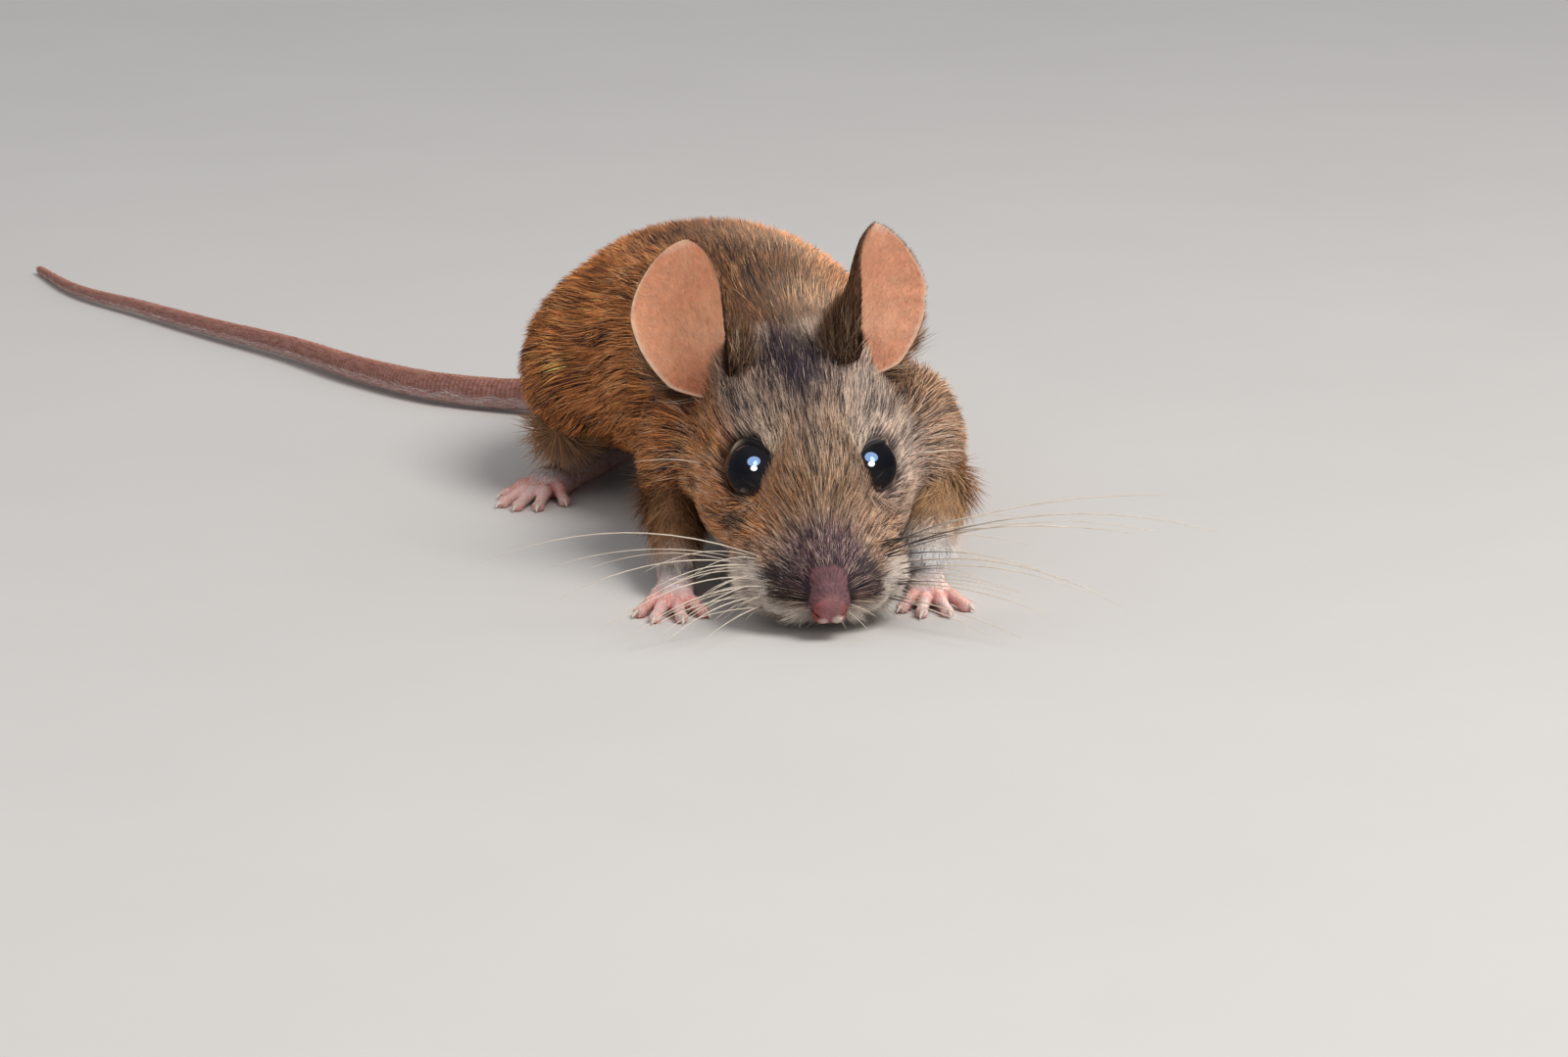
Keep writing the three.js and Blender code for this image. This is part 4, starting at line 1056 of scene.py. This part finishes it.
def banded(middle, member, steps, rng, dark, pale, pale_and_sheen_colour, spread=0.38):
    """Agouti colours along each hair, alike within a tuft: dark root, band, dark or pale tip."""
    count = len(middle)
    lots = member.max() + 1
    tone = np.exp(rng.normal(0, spread, lots)[member] + rng.normal(0, 0.5 * spread, count))
    own = rng.random(count) < 0.3
    kind = np.where(own, rng.random(count), rng.random(lots)[member])
    is_dark = (kind < dark)[:, None]
    is_pale = (kind > 1 - pale * mix(0.25, 1.0, ramp(0.04, 0.16, middle.mean(1))))[:, None]
    root = mix(middle * 0.22, DARK_STREAK, 0.6)
    band = np.where(is_dark, root, middle * tone[:, None])
    band = np.where(is_pale, mix(middle * 1.8, pale_and_sheen_colour, 0.6), band)
    tip = np.where(is_dark, band * 0.7, band * rng.uniform(0.85, 1.3, (count, 1)))
    colours = np.empty((count, steps + 1, 3))
    for k in range(steps + 1):
        t = k / steps
        colours[:, k] = mix(mix(root, band, ramp(0.05, 0.65, t)), tip, ramp(0.6, 1.0, t))
    return np.minimum(colours, 0.9)


def place_on_map(first, second):
    """Two values for each hair, stretched to fill a 0 to 1 map with a small border."""
    uv = np.stack([first, second], 1)
    low, high = uv.min(0), uv.max(0)
    return 0.01 + 0.98 * (uv - low) / np.maximum(high - low, 1e-6)


def add_coat(name, hairs, steps, rng, tint, uv, surface=None, width=0.5, flow=None):
    """One piece of the coat; tint is each hair's colour, or gives it from the hair's streak."""
    curves = hair_curves(hairs, steps, rng, surface)
    member, leaders = tufts(hairs.roots, width, rng)
    guides = curves[leaders[member]]
    for k in range(1, steps + 1):
        pull = (hairs.gather * (k / steps) ** 1.3)[:, None]
        curves[:, k] = mix(curves[:, k], guides[:, k], pull)
    if flow is not None:
        member, _ = tufts(flow, width, rng, STREAK_BLUR)
    curves[:, 1:, 2] = np.maximum(curves[:, 1:, 2], HAIR_FLOOR_GAP)
    roll = rng.normal(0, 0.4, len(curves))
    colours = tint(member) if callable(tint) else np.repeat(tint[:, None], steps + 1, 1)
    points, triangles, facing, tints, places = blades(
        curves, hairs.normals, hairs.width, colours, roll, uv
    )
    piece = new_piece(name, points, triangles, COAT, tints, uv=places)
    piece.data.normals_split_custom_set_from_vertices(facing.astype(np.float32))


# ---------------------------------------------------------------- coat of the trunk and head


def coat_density(p):
    """Hairs for each square millimetre of skin."""
    h = to_head(p)
    density = mix(FUR_DENSITY[0], FUR_DENSITY[1], ramp(-6, 4, h[:, 1]))
    density = mix(density, FUR_DENSITY[2], ramp(6, 14, h[:, 1]))
    density = mix(density, FUR_DENSITY[3], ramp(14, 26, p[:, 1]))
    density = density * mix(0.5, 1.0, np.clip(ramp(1.5, 5.0, p[:, 2]) + (p[:, 1] < 12), 0, 1))
    # None on the eyes or the bare tip of the nose.
    for name in SIDES:
        rel = p - EYE_CENTRES[name]
        on_eye = (size(rel) < EYE_RADIUS + 0.26) & (rel @ EYE_AXES[name] > LID_PLANE - 0.4)
        density = np.where(on_eye, 0, density)
    bare = np.zeros(len(p), bool)
    front = h[:, 1] < -7
    bare[front] = nose_field(p[front]) < 0.1
    return np.where(bare, 0, density)


def off_the_eyes(p, name):
    """How far points are from an eyeball, and the way that leads from it along the face."""
    rel = p - EYE_CENTRES[name]
    away = rel - EYE_AXES[name] * (rel @ EYE_AXES[name])[:, None]
    return size(rel) - EYE_RADIUS, unit(away)


def muzzle_fringe(h, normals):
    """1 where the pads turn away at their outer and lower edges."""
    edge = fall(0.2, 0.6, np.abs((normals @ HEAD_TURN)[:, 1] + 0.1))
    return edge * fall(-6.5, -4.5, h[:, 1]) * fall(-3.4, -2.4, h[:, 2])


def coat_lie(p):
    """The way the hairs run: back from the nose, round the eyes, and down the flanks."""
    h = to_head(p)
    out = np.stack([1.1 * h[:, 0], np.full(len(p), 5.0), 1.0 * (h[:, 2] + 3.8)], 1)
    reach = size(h - np.array([0, -12.5, -4.0]))
    fan = h - np.array([0, -12.5, -3.4])
    out = mix(unit(out), unit(fan), (0.25 + 0.7 * fall(2.0, 9.0, reach))[:, None])
    low_cheek = ramp(2.0, 6.0, np.abs(h[:, 0])) * fall(-5, 0, h[:, 2])
    out = out + np.stack([0.35 * np.sign(h[:, 0]) * low_cheek, 0 * reach, -0.35 * low_cheek], 1)
    head = unit(turned_from_head(out))
    for name in SIDES:
        gap, away = off_the_eyes(p, name)
        inward = np.maximum(0.2 - (head * away).sum(1), 0) * fall(0.3, 2.4, gap)
        head = head + away * inward[:, None]
    off = p[:, 0] - spine_x(p[:, 1])
    down = -0.02 * np.abs(off) - 0.35 * ramp(4, 10, np.abs(off))
    trunk = np.stack([0.02 * off - 0.16, np.full(len(p), 1.0), down], 1)
    return mix(head, trunk, ramp(14, 24, p[:, 1])[:, None])


def coat_flow(p, on_trunk):
    """Places in which the coat's streaks are cubes: along the flow, and twice across it."""
    h = to_head(p) - np.array([0, -12.5, -3.8])
    reach = np.maximum(size(h), 1.0)
    fan = STREAK_FAN * h / reach[:, None]
    head = np.stack([reach / STREAK_LENGTH, fan[:, 0], fan[:, 2]], 1)
    trunk = np.stack([p[:, 1] / STREAK_LENGTH, p[:, 0], p[:, 2]], 1)
    return np.where(on_trunk[:, None], trunk, head)


def coat_style(p, normals):
    """Length, width, rise and lift of the coat at its roots."""
    h = to_head(p)
    front = fall(-9, -3, h[:, 1])
    length = mix(FUR_LENGTH[1], FUR_LENGTH[0], front)
    length = mix(length, FUR_LENGTH[2], ramp(3, 11, h[:, 1]))
    length = mix(length, FUR_LENGTH[3], ramp(13, 27, p[:, 1]))
    width = mix(mix(FUR_WIDTH[1], FUR_WIDTH[0], front), FUR_WIDTH[2], ramp(12, 27, p[:, 1]))
    for name in SIDES:
        length = length * mix(0.4, 1.0, ramp(0.2, 2.0, off_the_eyes(p, name)[0]))
    length = length * mix(0.28, 1.0, ramp(2.0, 9.0, size(p - np.array(TAIL_ROUTE[0]))))
    rise = coat_depth(p) * 0.8
    lift = mix(0.3, 0.22, ramp(14, 26, p[:, 1]))
    # It stands out round the muzzle, at the shoulders' lower edge and at the feet of the ears.
    hem = ramp(16, 19, p[:, 1]) * fall(28, 34, p[:, 1]) * fall(4.0, 7.5, p[:, 2])
    left, right = near(h, (2.6, 8.6, 3.6), (3.4, 4.6, 4.6)), near(h, (-3.6, 8.6, 3.6), (3.6, 4.6, 4.6))
    places = (muzzle_fringe(h, normals), FRINGE_FUR), (hem, HEM_FUR), (np.maximum(left, right), EAR_TUFT_FUR)
    for share, (longer, higher, steeper) in places:
        length = mix(length, longer, share)
        lift = mix(lift, steeper, share)
        if higher is not None:
            rise = mix(rise, higher, share)
    return {"length": length, "width": width, "rise": rise, "lift": lift}


# The coat from nose to tail: end, width of a tuft, steps, shares of dark and pale hairs, and
# the colour of the pale ones, which on the head is partly painted sheen.
BANDS = (
    ("muzzle", -4.6, 0.26, 2, 0.32, 0.24, PALE_STREAK_AND_SHEEN),
    ("face", 2.2, 0.24, 2, 0.34, 0.32, PALE_STREAK_AND_SHEEN),
    ("crown", 8.5, 0.26, 2, 0.36, 0.28, PALE_STREAK_AND_SHEEN),
    ("nape", 15.5, 0.34, 3, 0.32, 0.12, PALE_BUFF),
    ("shoulder", 24.0, 0.55, 3, 0.25, 0.12, PALE_BUFF),
    ("flank", 37.0, 0.6, 3, 0.25, 0.1, PALE_BUFF),
    # The rump's pale hairs are orange: partly painted glow of light from behind on their tips.
    ("rump", 99.0, 0.6, 3, 0.22, 0.12, ORANGE),
)


def build_trunk_coat(surface):
    rng = np.random.default_rng(SEEDS["trunk"])
    roots, normals, _ = scattered(surface, coat_density, rng)
    style = coat_style(roots, normals)
    count = len(roots)
    h = to_head(roots)
    for key, low, high in (("length", 0.75, 1.2), ("width", 0.8, 1.2), ("rise", 0.5, 1.1)):
        style[key] = style[key] * rng.uniform(low, high, count)
    style["gather"] = rng.uniform(0.2, 0.75, count)
    lie = coat_lie(roots)
    mean = markings(roots)
    on_trunk = roots[:, 1] > 20
    back = np.where(on_trunk, roots[:, 1] - 12, h[:, 1])
    off = np.where(on_trunk, roots[:, 0] - spine_x(roots[:, 1]), h[:, 0])
    angle = np.arctan2(np.abs(off), np.where(on_trunk, roots[:, 2] - 9.0, h[:, 2] + 3.0))
    start = -99.0
    for band, end, width, steps, *looks in BANDS:
        for side, sign in SIDES.items():
            here = (back >= start) & (back < end) & ((off >= 0) == (sign > 0))
            own = {key: value[here] for key, value in style.items()}
            part = Hairs(roots[here], normals[here], lie[here], stray=0.085, bow=0.09, **own)
            middle = mean[here]

            def tint(member):
                """Streaked where the fur is dark, and plain where it is pale."""
                streaked = banded(middle, member, steps, rng, *looks)
                fade = mix(0.5, 1.1, ramp(0, 0.8, np.linspace(0, 1, steps + 1)))
                plain = middle[:, None] * fade[None, :, None]
                plain = plain * rng.uniform(0.7, 1.15, (len(plain), 1, 1))
                return np.where((middle.min(1) > PLAIN_FROM)[:, None, None], plain, streaked)

            uv = place_on_map(angle[here], back[here])
            flow = coat_flow(roots[here], on_trunk[here])
            name = f"coat_{band}_{side}"
            add_coat(name, part, steps, rng, tint, uv, whole_field, width, flow)
        start = end


# ---------------------------------------------------------------- build

COAT = plain_material("coat_hair", 0.18, 900.0, Roughness=0.6, Specular_IOR_Level=0.28)


def build_skin():
    """One skin for the trunk, head, paws, ears, lids and tail, in place of those nodes."""
    shells = []  # points, triangles, colours, how bare

    def add(points, triangles, colours, bare):
        shells.append((points, triangles, colours, np.full(len(points), float(bare))))

    trunk = field_surface(skin_field, *TRUNK_BOX, SKIN_SQUARE)
    tone = markings(trunk[0])
    add(trunk[0], trunk[2], tone * mix(0.35, 0.75, ramp(0.2, 0.6, tone[:, 2]))[:, None], 0.15)
    paws = {name: paw_surface(name) for name in PAWS}
    for name, (points, _, triangles) in paws.items():
        add(points, triangles, paw_colours(name, points), 1)
    ears = {name: ear_surface(name) for name in EARS}
    for name, (points, _, triangles, s, u, inner) in ears.items():
        add(points, triangles, ear_colours(name, s, u, np.arange(len(points)) < inner), 0.8)
    for name in SIDES:
        add(*lid_surface(name), 0.3)
    tail = tail_surface()
    points, normals, triangles, share, phase = tail
    colours = paint(
        TAIL_TOP,
        (TAIL_UNDER, 0.75 * fall(-0.7, 0.1, normals[:, 2])),
        (TAIL_UNDER, 0.25 * share),
        (DARK_BROWN, 0.35 * (phase < 0.2)),
    )
    add(points, triangles, colours, 0.6)
    points, triangles, colours, bare = joined(shells)
    skin = new_piece("skin", points, triangles, skin_material(), colours, bare=bare)
    flesh = ["muzzle", "lower_jaw", "head", "neck", "chest", "loin", "rump"]
    for side in SIDES:
        for part in ("ear", "upper_arm", "forearm", "forefoot", "thigh", "shank", "hindfoot"):
            flesh.append(f"{part}_{side}")
    flesh += [f"tail_{length}" for length in (1, 2, 3, 4)]
    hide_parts(*flesh)
    return trunk, paws, ears, tail


def build_eyes(rows=49, columns=64):
    material = plain_material("eye_gloss", 0.3, 500.0, Roughness=0.03, IOR=1.7)
    polar = np.linspace(0, math.pi, rows)[:, None]
    turn = ring(columns)[None]
    bulge = EYE_RADIUS * (1 + EYE_BULGE * np.exp(-((polar / 0.7) ** 2)))
    tint = mix(EYE_BROWN, PUPIL_BLACK, np.exp(-((polar / 0.8) ** 2))[..., None])
    for name in SIDES:
        axis = EYE_AXES[name]
        across = unit(np.cross(axis, (0, 0, 1)))
        directions = (
            axis * np.cos(polar)[..., None]
            + across * (np.sin(polar) * np.cos(turn))[..., None]
            + np.cross(across, axis) * (np.sin(polar) * np.sin(turn))[..., None]
        )
        points = (EYE_CENTRES[name] + directions * bulge[..., None]).reshape(-1, 3)
        triangles = sheet_triangles(rows, columns, wrap=True)
        points, _, triangles = outward(points, directions.reshape(-1, 3), triangles)
        colours = np.broadcast_to(tint, directions.shape).reshape(-1, 3)
        eye = new_piece(f"eyeball_{name}", points, triangles, material, colours)
        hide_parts(f"eye_{name}")


def build_nose():
    """The bare tip of the nose, and very short hairs over its top, where the fur thins out."""
    centre, reach = from_head((0, -11.0, -3.8)), np.array([3.0, 3.4, 3.0])
    surface = field_surface(nose_field, centre - reach, centre + reach, NOSE_SQUARE)
    h = to_head(surface[0])
    x, y, z = h.T
    colours = paint(
        NOSE_PINK,
        (NOSE_RED, 0.8 * ramp(0.5, 1.2, np.abs(x)) * fall(-3.9, -2.6, z)),
        (NOSE_RED, 0.35 * ramp(0.1, 0.9, -x)),
        (PAD_MAUVE, 0.9 * ramp(-12.4, -11.0, y + 0.5 * (z + 3.6))),
        # Painted highlights: two cream spots on the lower lobes stand for the shine of the wet nose.
        (CREAM, 0.6 * near(h, (0.55, -12.7, -4.6), (0.55, 0.8, 0.55))),
        (CREAM, 0.4 * near(h, (-0.5, -12.7, -4.7), (0.5, 0.8, 0.42))),
        (NOSE_RED, 0.5 * fall(-5.1, -4.7, z)),
    )
    nose = new_piece("nose_tip", surface[0], surface[2], nose_material(), colours)
    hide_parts("nose")

    def density(p):
        x, y, z = to_head(p).T
        over = z + 0.35 * y + 0.7 * np.abs(x)
        back = 260.0 + 300.0 * ramp(-12.0, -10.8, y)
        return back * ramp(-8.5, -6.3, over) * ramp(-13.0, -12.2, y)

    rng = np.random.default_rng(SEEDS["nose"])
    roots, normals, _ = scattered(surface, density, rng)
    count = len(roots)
    h = to_head(roots)
    hairs = Hairs(
        roots, normals, coat_lie(roots),
        length=rng.uniform(0.35, 0.7, count) * (1 + 1.3 * ramp(-12.0, -10.8, h[:, 1])),
        width=0.03, lift=0.25, stray=0.2, bow=0.1, gather=rng.uniform(0.1, 0.5, count),
    )
    middle = np.where((rng.random(count) < 0.4)[:, None], NOSE_PINK, PAD_MAUVE)
    middle = middle * rng.uniform(0.6, 1.5, (count, 1))
    uv = place_on_map(h[:, 0], h[:, 1])
    add_coat("coat_nose", hairs, 2, rng, middle, uv, None, 0.3)


def whisker_line(root, tip, arch, count=13):
    """A quadratic curve from the pad, rising by the arch and bending forward a little."""
    bend = 0.5 * (root + tip) + np.array([0, -0.3 * arch, arch])
    t = np.linspace(0, 1, count)[:, None]
    return (1 - t) ** 2 * root + 2 * t * (1 - t) * bend + t**2 * tip


def muzzle_bristles(surface, sign, rng, count=34):
    """Short fine bristles that stand out round the lower edge of the muzzle."""
    points, normals, _ = surface
    h = to_head(points)
    edge = muzzle_fringe(h, normals) * (h[:, 0] * sign > 0.4) * (h[:, 2] < -3.6)
    picks = rng.choice(len(points), count, replace=False, p=edge / edge.sum())
    bristles = []
    for root, normal, way in zip(points[picks], normals[picks], coat_lie(points[picks])):
        way = unit(normal + 0.5 * way + np.array([0, -0.15, -0.15])) * rng.uniform(2.0, 3.8)
        tip = root + way
        tip[2] = max(tip[2], 0.5)
        bristles.append((root, tip, 0.25, rng.uniform(0.018, FINE_GIRTH)))
    return bristles


def build_whiskers(surface):
    """Long whiskers as in the solids, with finer ones between them and behind the eye."""
    material = plain_material("whisker_hair", 0.15, 700.0, Roughness=0.4, Specular_IOR_Level=0.5)
    for name, sign in SIDES.items():
        rng = np.random.default_rng(SEEDS["whiskers"] + sign)
        listed = [(from_head(r), np.array(t, float), a, WHISKER_GIRTH) for r, t, a in WHISKERS[name]]
        extra = []
        for _ in range(FINE_WHISKERS):
            k = int(rng.integers(0, len(listed) - 1))
            share = rng.random()
            root, tip, arch = (mix(a, b, share) for a, b in zip(listed[k][:3], listed[k + 1][:3]))
            root = root + rng.normal(0, 0.35, 3)
            tip = root + (tip - root) * rng.uniform(0.45, 0.9)
            tip = tip + rng.normal(0, 1.0, 3) * [1, 1, 0.6]
            tip[2] = max(tip[2], 0.6)
            extra.append((root, tip, arch * rng.uniform(0.5, 0.9), rng.uniform(0.03, 0.042)))
        cheek = from_head(mirrored(BROW_HAIR[0], sign))
        extra.append((cheek, cheek + turned_from_head(mirrored(BROW_HAIR[1], sign)), 0.7, 0.035))
        parts = []
        for root, tip, arch, girth in listed + extra + muzzle_bristles(surface, sign, rng):
            line = whisker_line(root, tip, arch)
            shares = np.linspace(0, 1, len(line))
            radii = girth * (1 - shares) ** 0.7 + 0.012
            skin, _, faces = tube(line, unit(np.gradient(line, axis=0)), radii, 5, up=(0, 1, 0))
            early = 0.6 if girth < FINE_GIRTH else 0.0
            fade = ramp(*WHISKER_FADE[name], shares + rng.normal(0, 0.06) + early)
            parts.append((skin, faces, np.repeat(mix(WHISKER_DARK, WHISKER_PALE, fade[:, None]), 5, 0)))
        points, triangles, colours = joined(parts)
        whiskers = new_piece(f"whisker_set_{name}", points, triangles, material, colours)
        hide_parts(f"whiskers_{name}")


def build_claws():
    """A small curved claw on each digit."""
    parts = []
    t = np.linspace(0, 1, 7)
    colours = np.repeat(mix(CLAW_ROOT, CLAW_TIP, t[:, None]), 8, 0)
    for (reach, breadth, _, digits, (_, thin)), root, aim in PAWS.values():
        toe_line = np.array([*root, 0.0]) + pointing(aim) * reach
        for fan, length in digits:
            way = pointing(aim + fan)
            base = toe_line + way * (breadth * 0.5 + length + 0.12)
            line = base + way * t[:, None] * 0.72
            line[:, 2] = np.maximum(thin * 1.15 - 0.42 * t**1.6, 0.1)
            radii = 0.19 * (1 - t) ** 0.7 + 0.02
            skin, _, faces = tube(line, unit(np.gradient(line, axis=0)), radii, 8)
            parts.append((skin, faces, colours))
    points, triangles, colours = joined(parts)
    material = plain_material("claw_horn", 0.2, 2500.0, Roughness=0.35, Specular_IOR_Level=0.5)
    new_piece("claws", points, triangles, material, colours)


def build_ear_hair(ears):
    """A fine down on both faces of the ears, denser, longer and darker at the front margin."""
    for name, (points, normals, triangles, s, u, inner) in ears.items():
        rng = np.random.default_rng(SEEDS["ears"] + SIDES[name])
        of_face = triangles[:, 0] < inner
        front = -u[triangles].mean(1) * SIDES[name]
        low = s[triangles].mean(1)
        strip = ramp(0.55, 0.9, front) * fall(0.55, 0.95, low)
        foot = fall(0.05, 0.36, low)
        inside = 24 + 150 * strip + 170 * foot * ramp(-0.3, 0.5, front)
        behind = 75 + 40 * ramp(0.4, 0.9, front) + 30 * fall(0.1, 0.4, low)
        density = np.where(of_face, inside, behind)
        roots, root_normals, picks = scattered((points, normals, triangles), density, rng)
        is_inner, front, low = of_face[picks], front[picks], low[picks]
        _, _, up, _, across = ear_frame(name)
        lie = up + across * (0.55 * u[triangles[picks]].mean(1))[:, None]
        count = len(roots)
        foot = fall(0.04, 0.36, low)
        strip = ramp(0.55, 0.9, front) * fall(0.5, 0.95, low)
        margin = ramp(0.8, 0.97, np.maximum(np.abs(front), low))
        furry = fall(0.1, 0.6, low)
        length = mix(mix(0.34, 0.8, strip), 3.0, foot * ramp(-0.4, 0.6, front))
        length_behind = mix(mix(0.95, 0.35, margin), 3.6, furry)
        hairs = Hairs(
            roots, root_normals, lie,
            length=np.where(is_inner, length, length_behind) * rng.uniform(0.7, 1.25, count),
            width=np.where(is_inner, mix(0.022, 0.045, strip), mix(0.042, 0.06, furry)),
            lift=np.where(is_inner, mix(0.2, 0.45, foot), mix(0.14, 0.65, furry)),
            stray=0.28, bow=0.15, gather=rng.uniform(0.1, 0.6, count),
        )
        soft = np.where((rng.random(count) < 0.65)[:, None], EAR_DOWN, EAR_PALE) * EAR_PAINTED_LIGHT[name]
        inside = paint(soft, (BROWN, 0.9 * foot), (DARK_BROWN, 0.9 * strip))
        behind = paint(
            BROWN,
            (DARK_BROWN, 0.5 * ramp(0.2, 0.9, front)),
            (BUFF, (rng.random(count) < 0.45) * 0.75),
            (PALE_STREAK_AND_SHEEN, (rng.random(count) < 0.3 * furry) * 0.75),
            (DARK_STREAK, (rng.random(count) < 0.35 * furry) * 0.8),
        )
        middle = np.where(is_inner[:, None], inside, behind) * rng.uniform(0.75, 1.25, (count, 1))
        uv = place_on_map(front + 2.2 * is_inner, low)
        add_coat(f"coat_ear_{name}", hairs, 2, rng, middle, uv, None, 0.3)


def build_limb_hair(paws):
    """Down on the lower limbs, white at the wrist, and a few short hairs on the toes."""
    for name, surface in paws.items():
        rng = np.random.default_rng(SEEDS["limbs"] + len(name))
        _, root, aim = PAWS[name]
        upper, _, lower, _ = (np.array(v) for v in LOWER_LIMBS[name])
        roots, normals, _ = scattered(
            surface, lambda p: mix(16.0, 130.0, ramp(1.2, 3.0, p[:, 2])) * (p[:, 2] > 0.35), rng
        )
        share = ramp(1.2, 5.0, roots[:, 2])
        count = len(roots)
        hairs = Hairs(
            roots, normals, mix(pointing(aim) + [0, 0, -0.1], unit(lower - upper), share[:, None]),
            length=mix(0.6, 3.6, share) * rng.uniform(0.7, 1.25, count),
            width=mix(0.035, 0.06, share), lift=mix(0.16, 0.4, share), stray=mix(0.2, 0.3, share),
            bow=0.12, gather=rng.uniform(0.2, 0.7, count),
        )
        middle = limb_colours(name, roots)

        def tint(member):
            tone = rng.uniform(0.7, 1.15, member.max() + 1)[member] * rng.uniform(0.85, 1.12, len(member))
            return np.minimum(middle[:, None] * tone[:, None, None] * LIMB_FADE[None, :, None], 0.9)

        uv = place_on_map(np.arctan2(roots[:, 0] - root[0], roots[:, 2]), roots[:, 1])
        add_coat(f"coat_{name}", hairs, 2, rng, tint, uv, None, 0.4)


def build_tail_hair(tail):
    """Short bristles that lie back along the tail."""
    rng = np.random.default_rng(SEEDS["tail"])
    *surface, share, _ = tail
    _, directions = along_line(through(TAIL_ROUTE), np.linspace(0, 1, 400))
    roots, normals, picks = scattered(surface, lambda p: np.where(p[:, 2] > 0.25, 14.0, 0.0), rng)
    along = share[surface[2][picks, 0]]
    count = len(roots)
    hairs = Hairs(
        roots, normals, directions[np.clip((along * 399).astype(int), 0, 399)],
        length=mix(1.2, 0.7, along) * rng.uniform(0.7, 1.2, count),
        width=0.03, lift=0.06, stray=0.15, bow=0.1, gather=0.0,
    )
    middle = np.where((normals[:, 2] > 0)[:, None], BROWN, np.array(WHITE_FUR) * 0.8)
    uv = place_on_map(np.arctan2(normals[:, 2], normals[:, 0]), along)
    add_coat("coat_tail", hairs, 2, rng, middle, uv)


trunk, paws, ears, tail = build_skin()
build_eyes()
build_nose()
build_whiskers(trunk)
build_claws()
build_trunk_coat(trunk)
build_ear_hair(ears)
build_limb_hair(paws)
build_tail_hair(tail)

# ---------------------------------------------------------------- studio


def dimmed_in_mirrors(tree, level):
    """A node output that is level, and only REFLECTED_SHARE of it in reflections."""
    rays = tree.nodes.new("ShaderNodeLightPath")
    dimmed = tree.nodes.new("ShaderNodeMapRange")
    dimmed.inputs["To Min"].default_value = level
    dimmed.inputs["To Max"].default_value = level * REFLECTED_SHARE
    tree.links.new(rays.outputs["Is Glossy Ray"], dimmed.inputs["Value"])
    return dimmed.outputs["Result"]


def build_floor():
    n = Nodes("studio_floor")
    colour = n.add("ShaderNodeRGB").outputs[0]
    colour.default_value = (*FLOOR_COLOUR, 1)
    shown = n.times(n.shaded(colour, 0.015, 30.0, 4.0), dimmed_in_mirrors(n.tree, 1.0))
    mesh = bpy.data.meshes.new("floor")
    corners = [(x * FLOOR_REACH, y * FLOOR_REACH, 0) for x, y in ((-1, -1), (1, -1), (1, 1), (-1, 1))]
    mesh.from_pydata(corners, [], [(0, 1, 2, 3)])
    mesh.materials.append(n.finish(shown, Roughness=0.9, Specular_IOR_Level=0.1))
    new_object("floor", mesh)


def build_world():
    world = bpy.data.worlds.new("studio")
    world.use_nodes = True
    tree = world.node_tree
    background = tree.nodes["Background"]
    background.inputs["Color"].default_value = (*WORLD_COLOUR, 1)
    tree.links.new(dimmed_in_mirrors(tree, WORLD_LEVEL), background.inputs["Strength"])
    bpy.context.scene.world = world


def soft_lamp(name, pieces, direction, distance, spread, power, colour):
    """An area lamp that shines on the head from a direction, and only on the pieces given."""
    target = (EYES_MIDDLE + ORIGIN) * MM
    place = Vector(target + unit(direction) * distance)
    lamp = bpy.data.lights.new(name, "AREA")
    lamp.shape = "ELLIPSE"
    lamp.size, lamp.size_y = spread
    lamp.energy = power
    lamp.color = colour
    holder = new_object(name, lamp)
    holder.visible_camera = False
    holder.location = place
    holder.rotation_euler = (Vector(target) - place).to_track_quat("-Z", "Y").to_euler()
    lit = bpy.data.collections.new(f"lit_by_{name}")
    for piece in pieces:
        lit.objects.link(piece)
    holder.light_linking.receiver_collection = lit


def build_lights():
    # The eyes are left out of these lamps, which would show as discs in them. Only the key
    # reaches the floor, which stays plain.
    dull = [p for p in bpy.data.objects if p.type == "MESH" and not p.name.startswith("eyeball")]
    mouse = [p for p in dull if p.name != "floor"]
    for name, lamp in BODY_LAMPS.items():
        soft_lamp(name, dull if name == "key" else mouse, *lamp)
    # The eyes mirror a blue window and a white glint below it, which light nothing else.
    for name, (window, glint) in EYE_LAMPS.items():
        eye = [bpy.data.objects[f"eyeball_{name}"]]
        gap = mix(window, glint, 0.5) + [0.08, 0, 0.08]
        soft_lamp(f"window_{name}", eye, window, *WINDOW_LAMP)
        soft_lamp(f"gap_{name}", eye, gap, *GAP_LAMP)
        soft_lamp(f"glint_{name}", eye, glint, *GLINT_LAMP)


def build_camera():
    camera = bpy.data.cameras.new("camera")
    camera.sensor_width = 36.0
    camera.lens = CAMERA_LENS
    camera.clip_start = 0.01
    holder = new_object("camera", camera)
    holder.location = (np.array(CAMERA_PLACE) + ORIGIN) * MM
    holder.rotation_euler = (math.radians(90 - CAMERA_TILT), 0, 0)
    bpy.context.scene.camera = holder


build_floor()
build_world()
build_lights()
build_camera()
bpy.context.scene.view_settings.view_transform = "Standard"
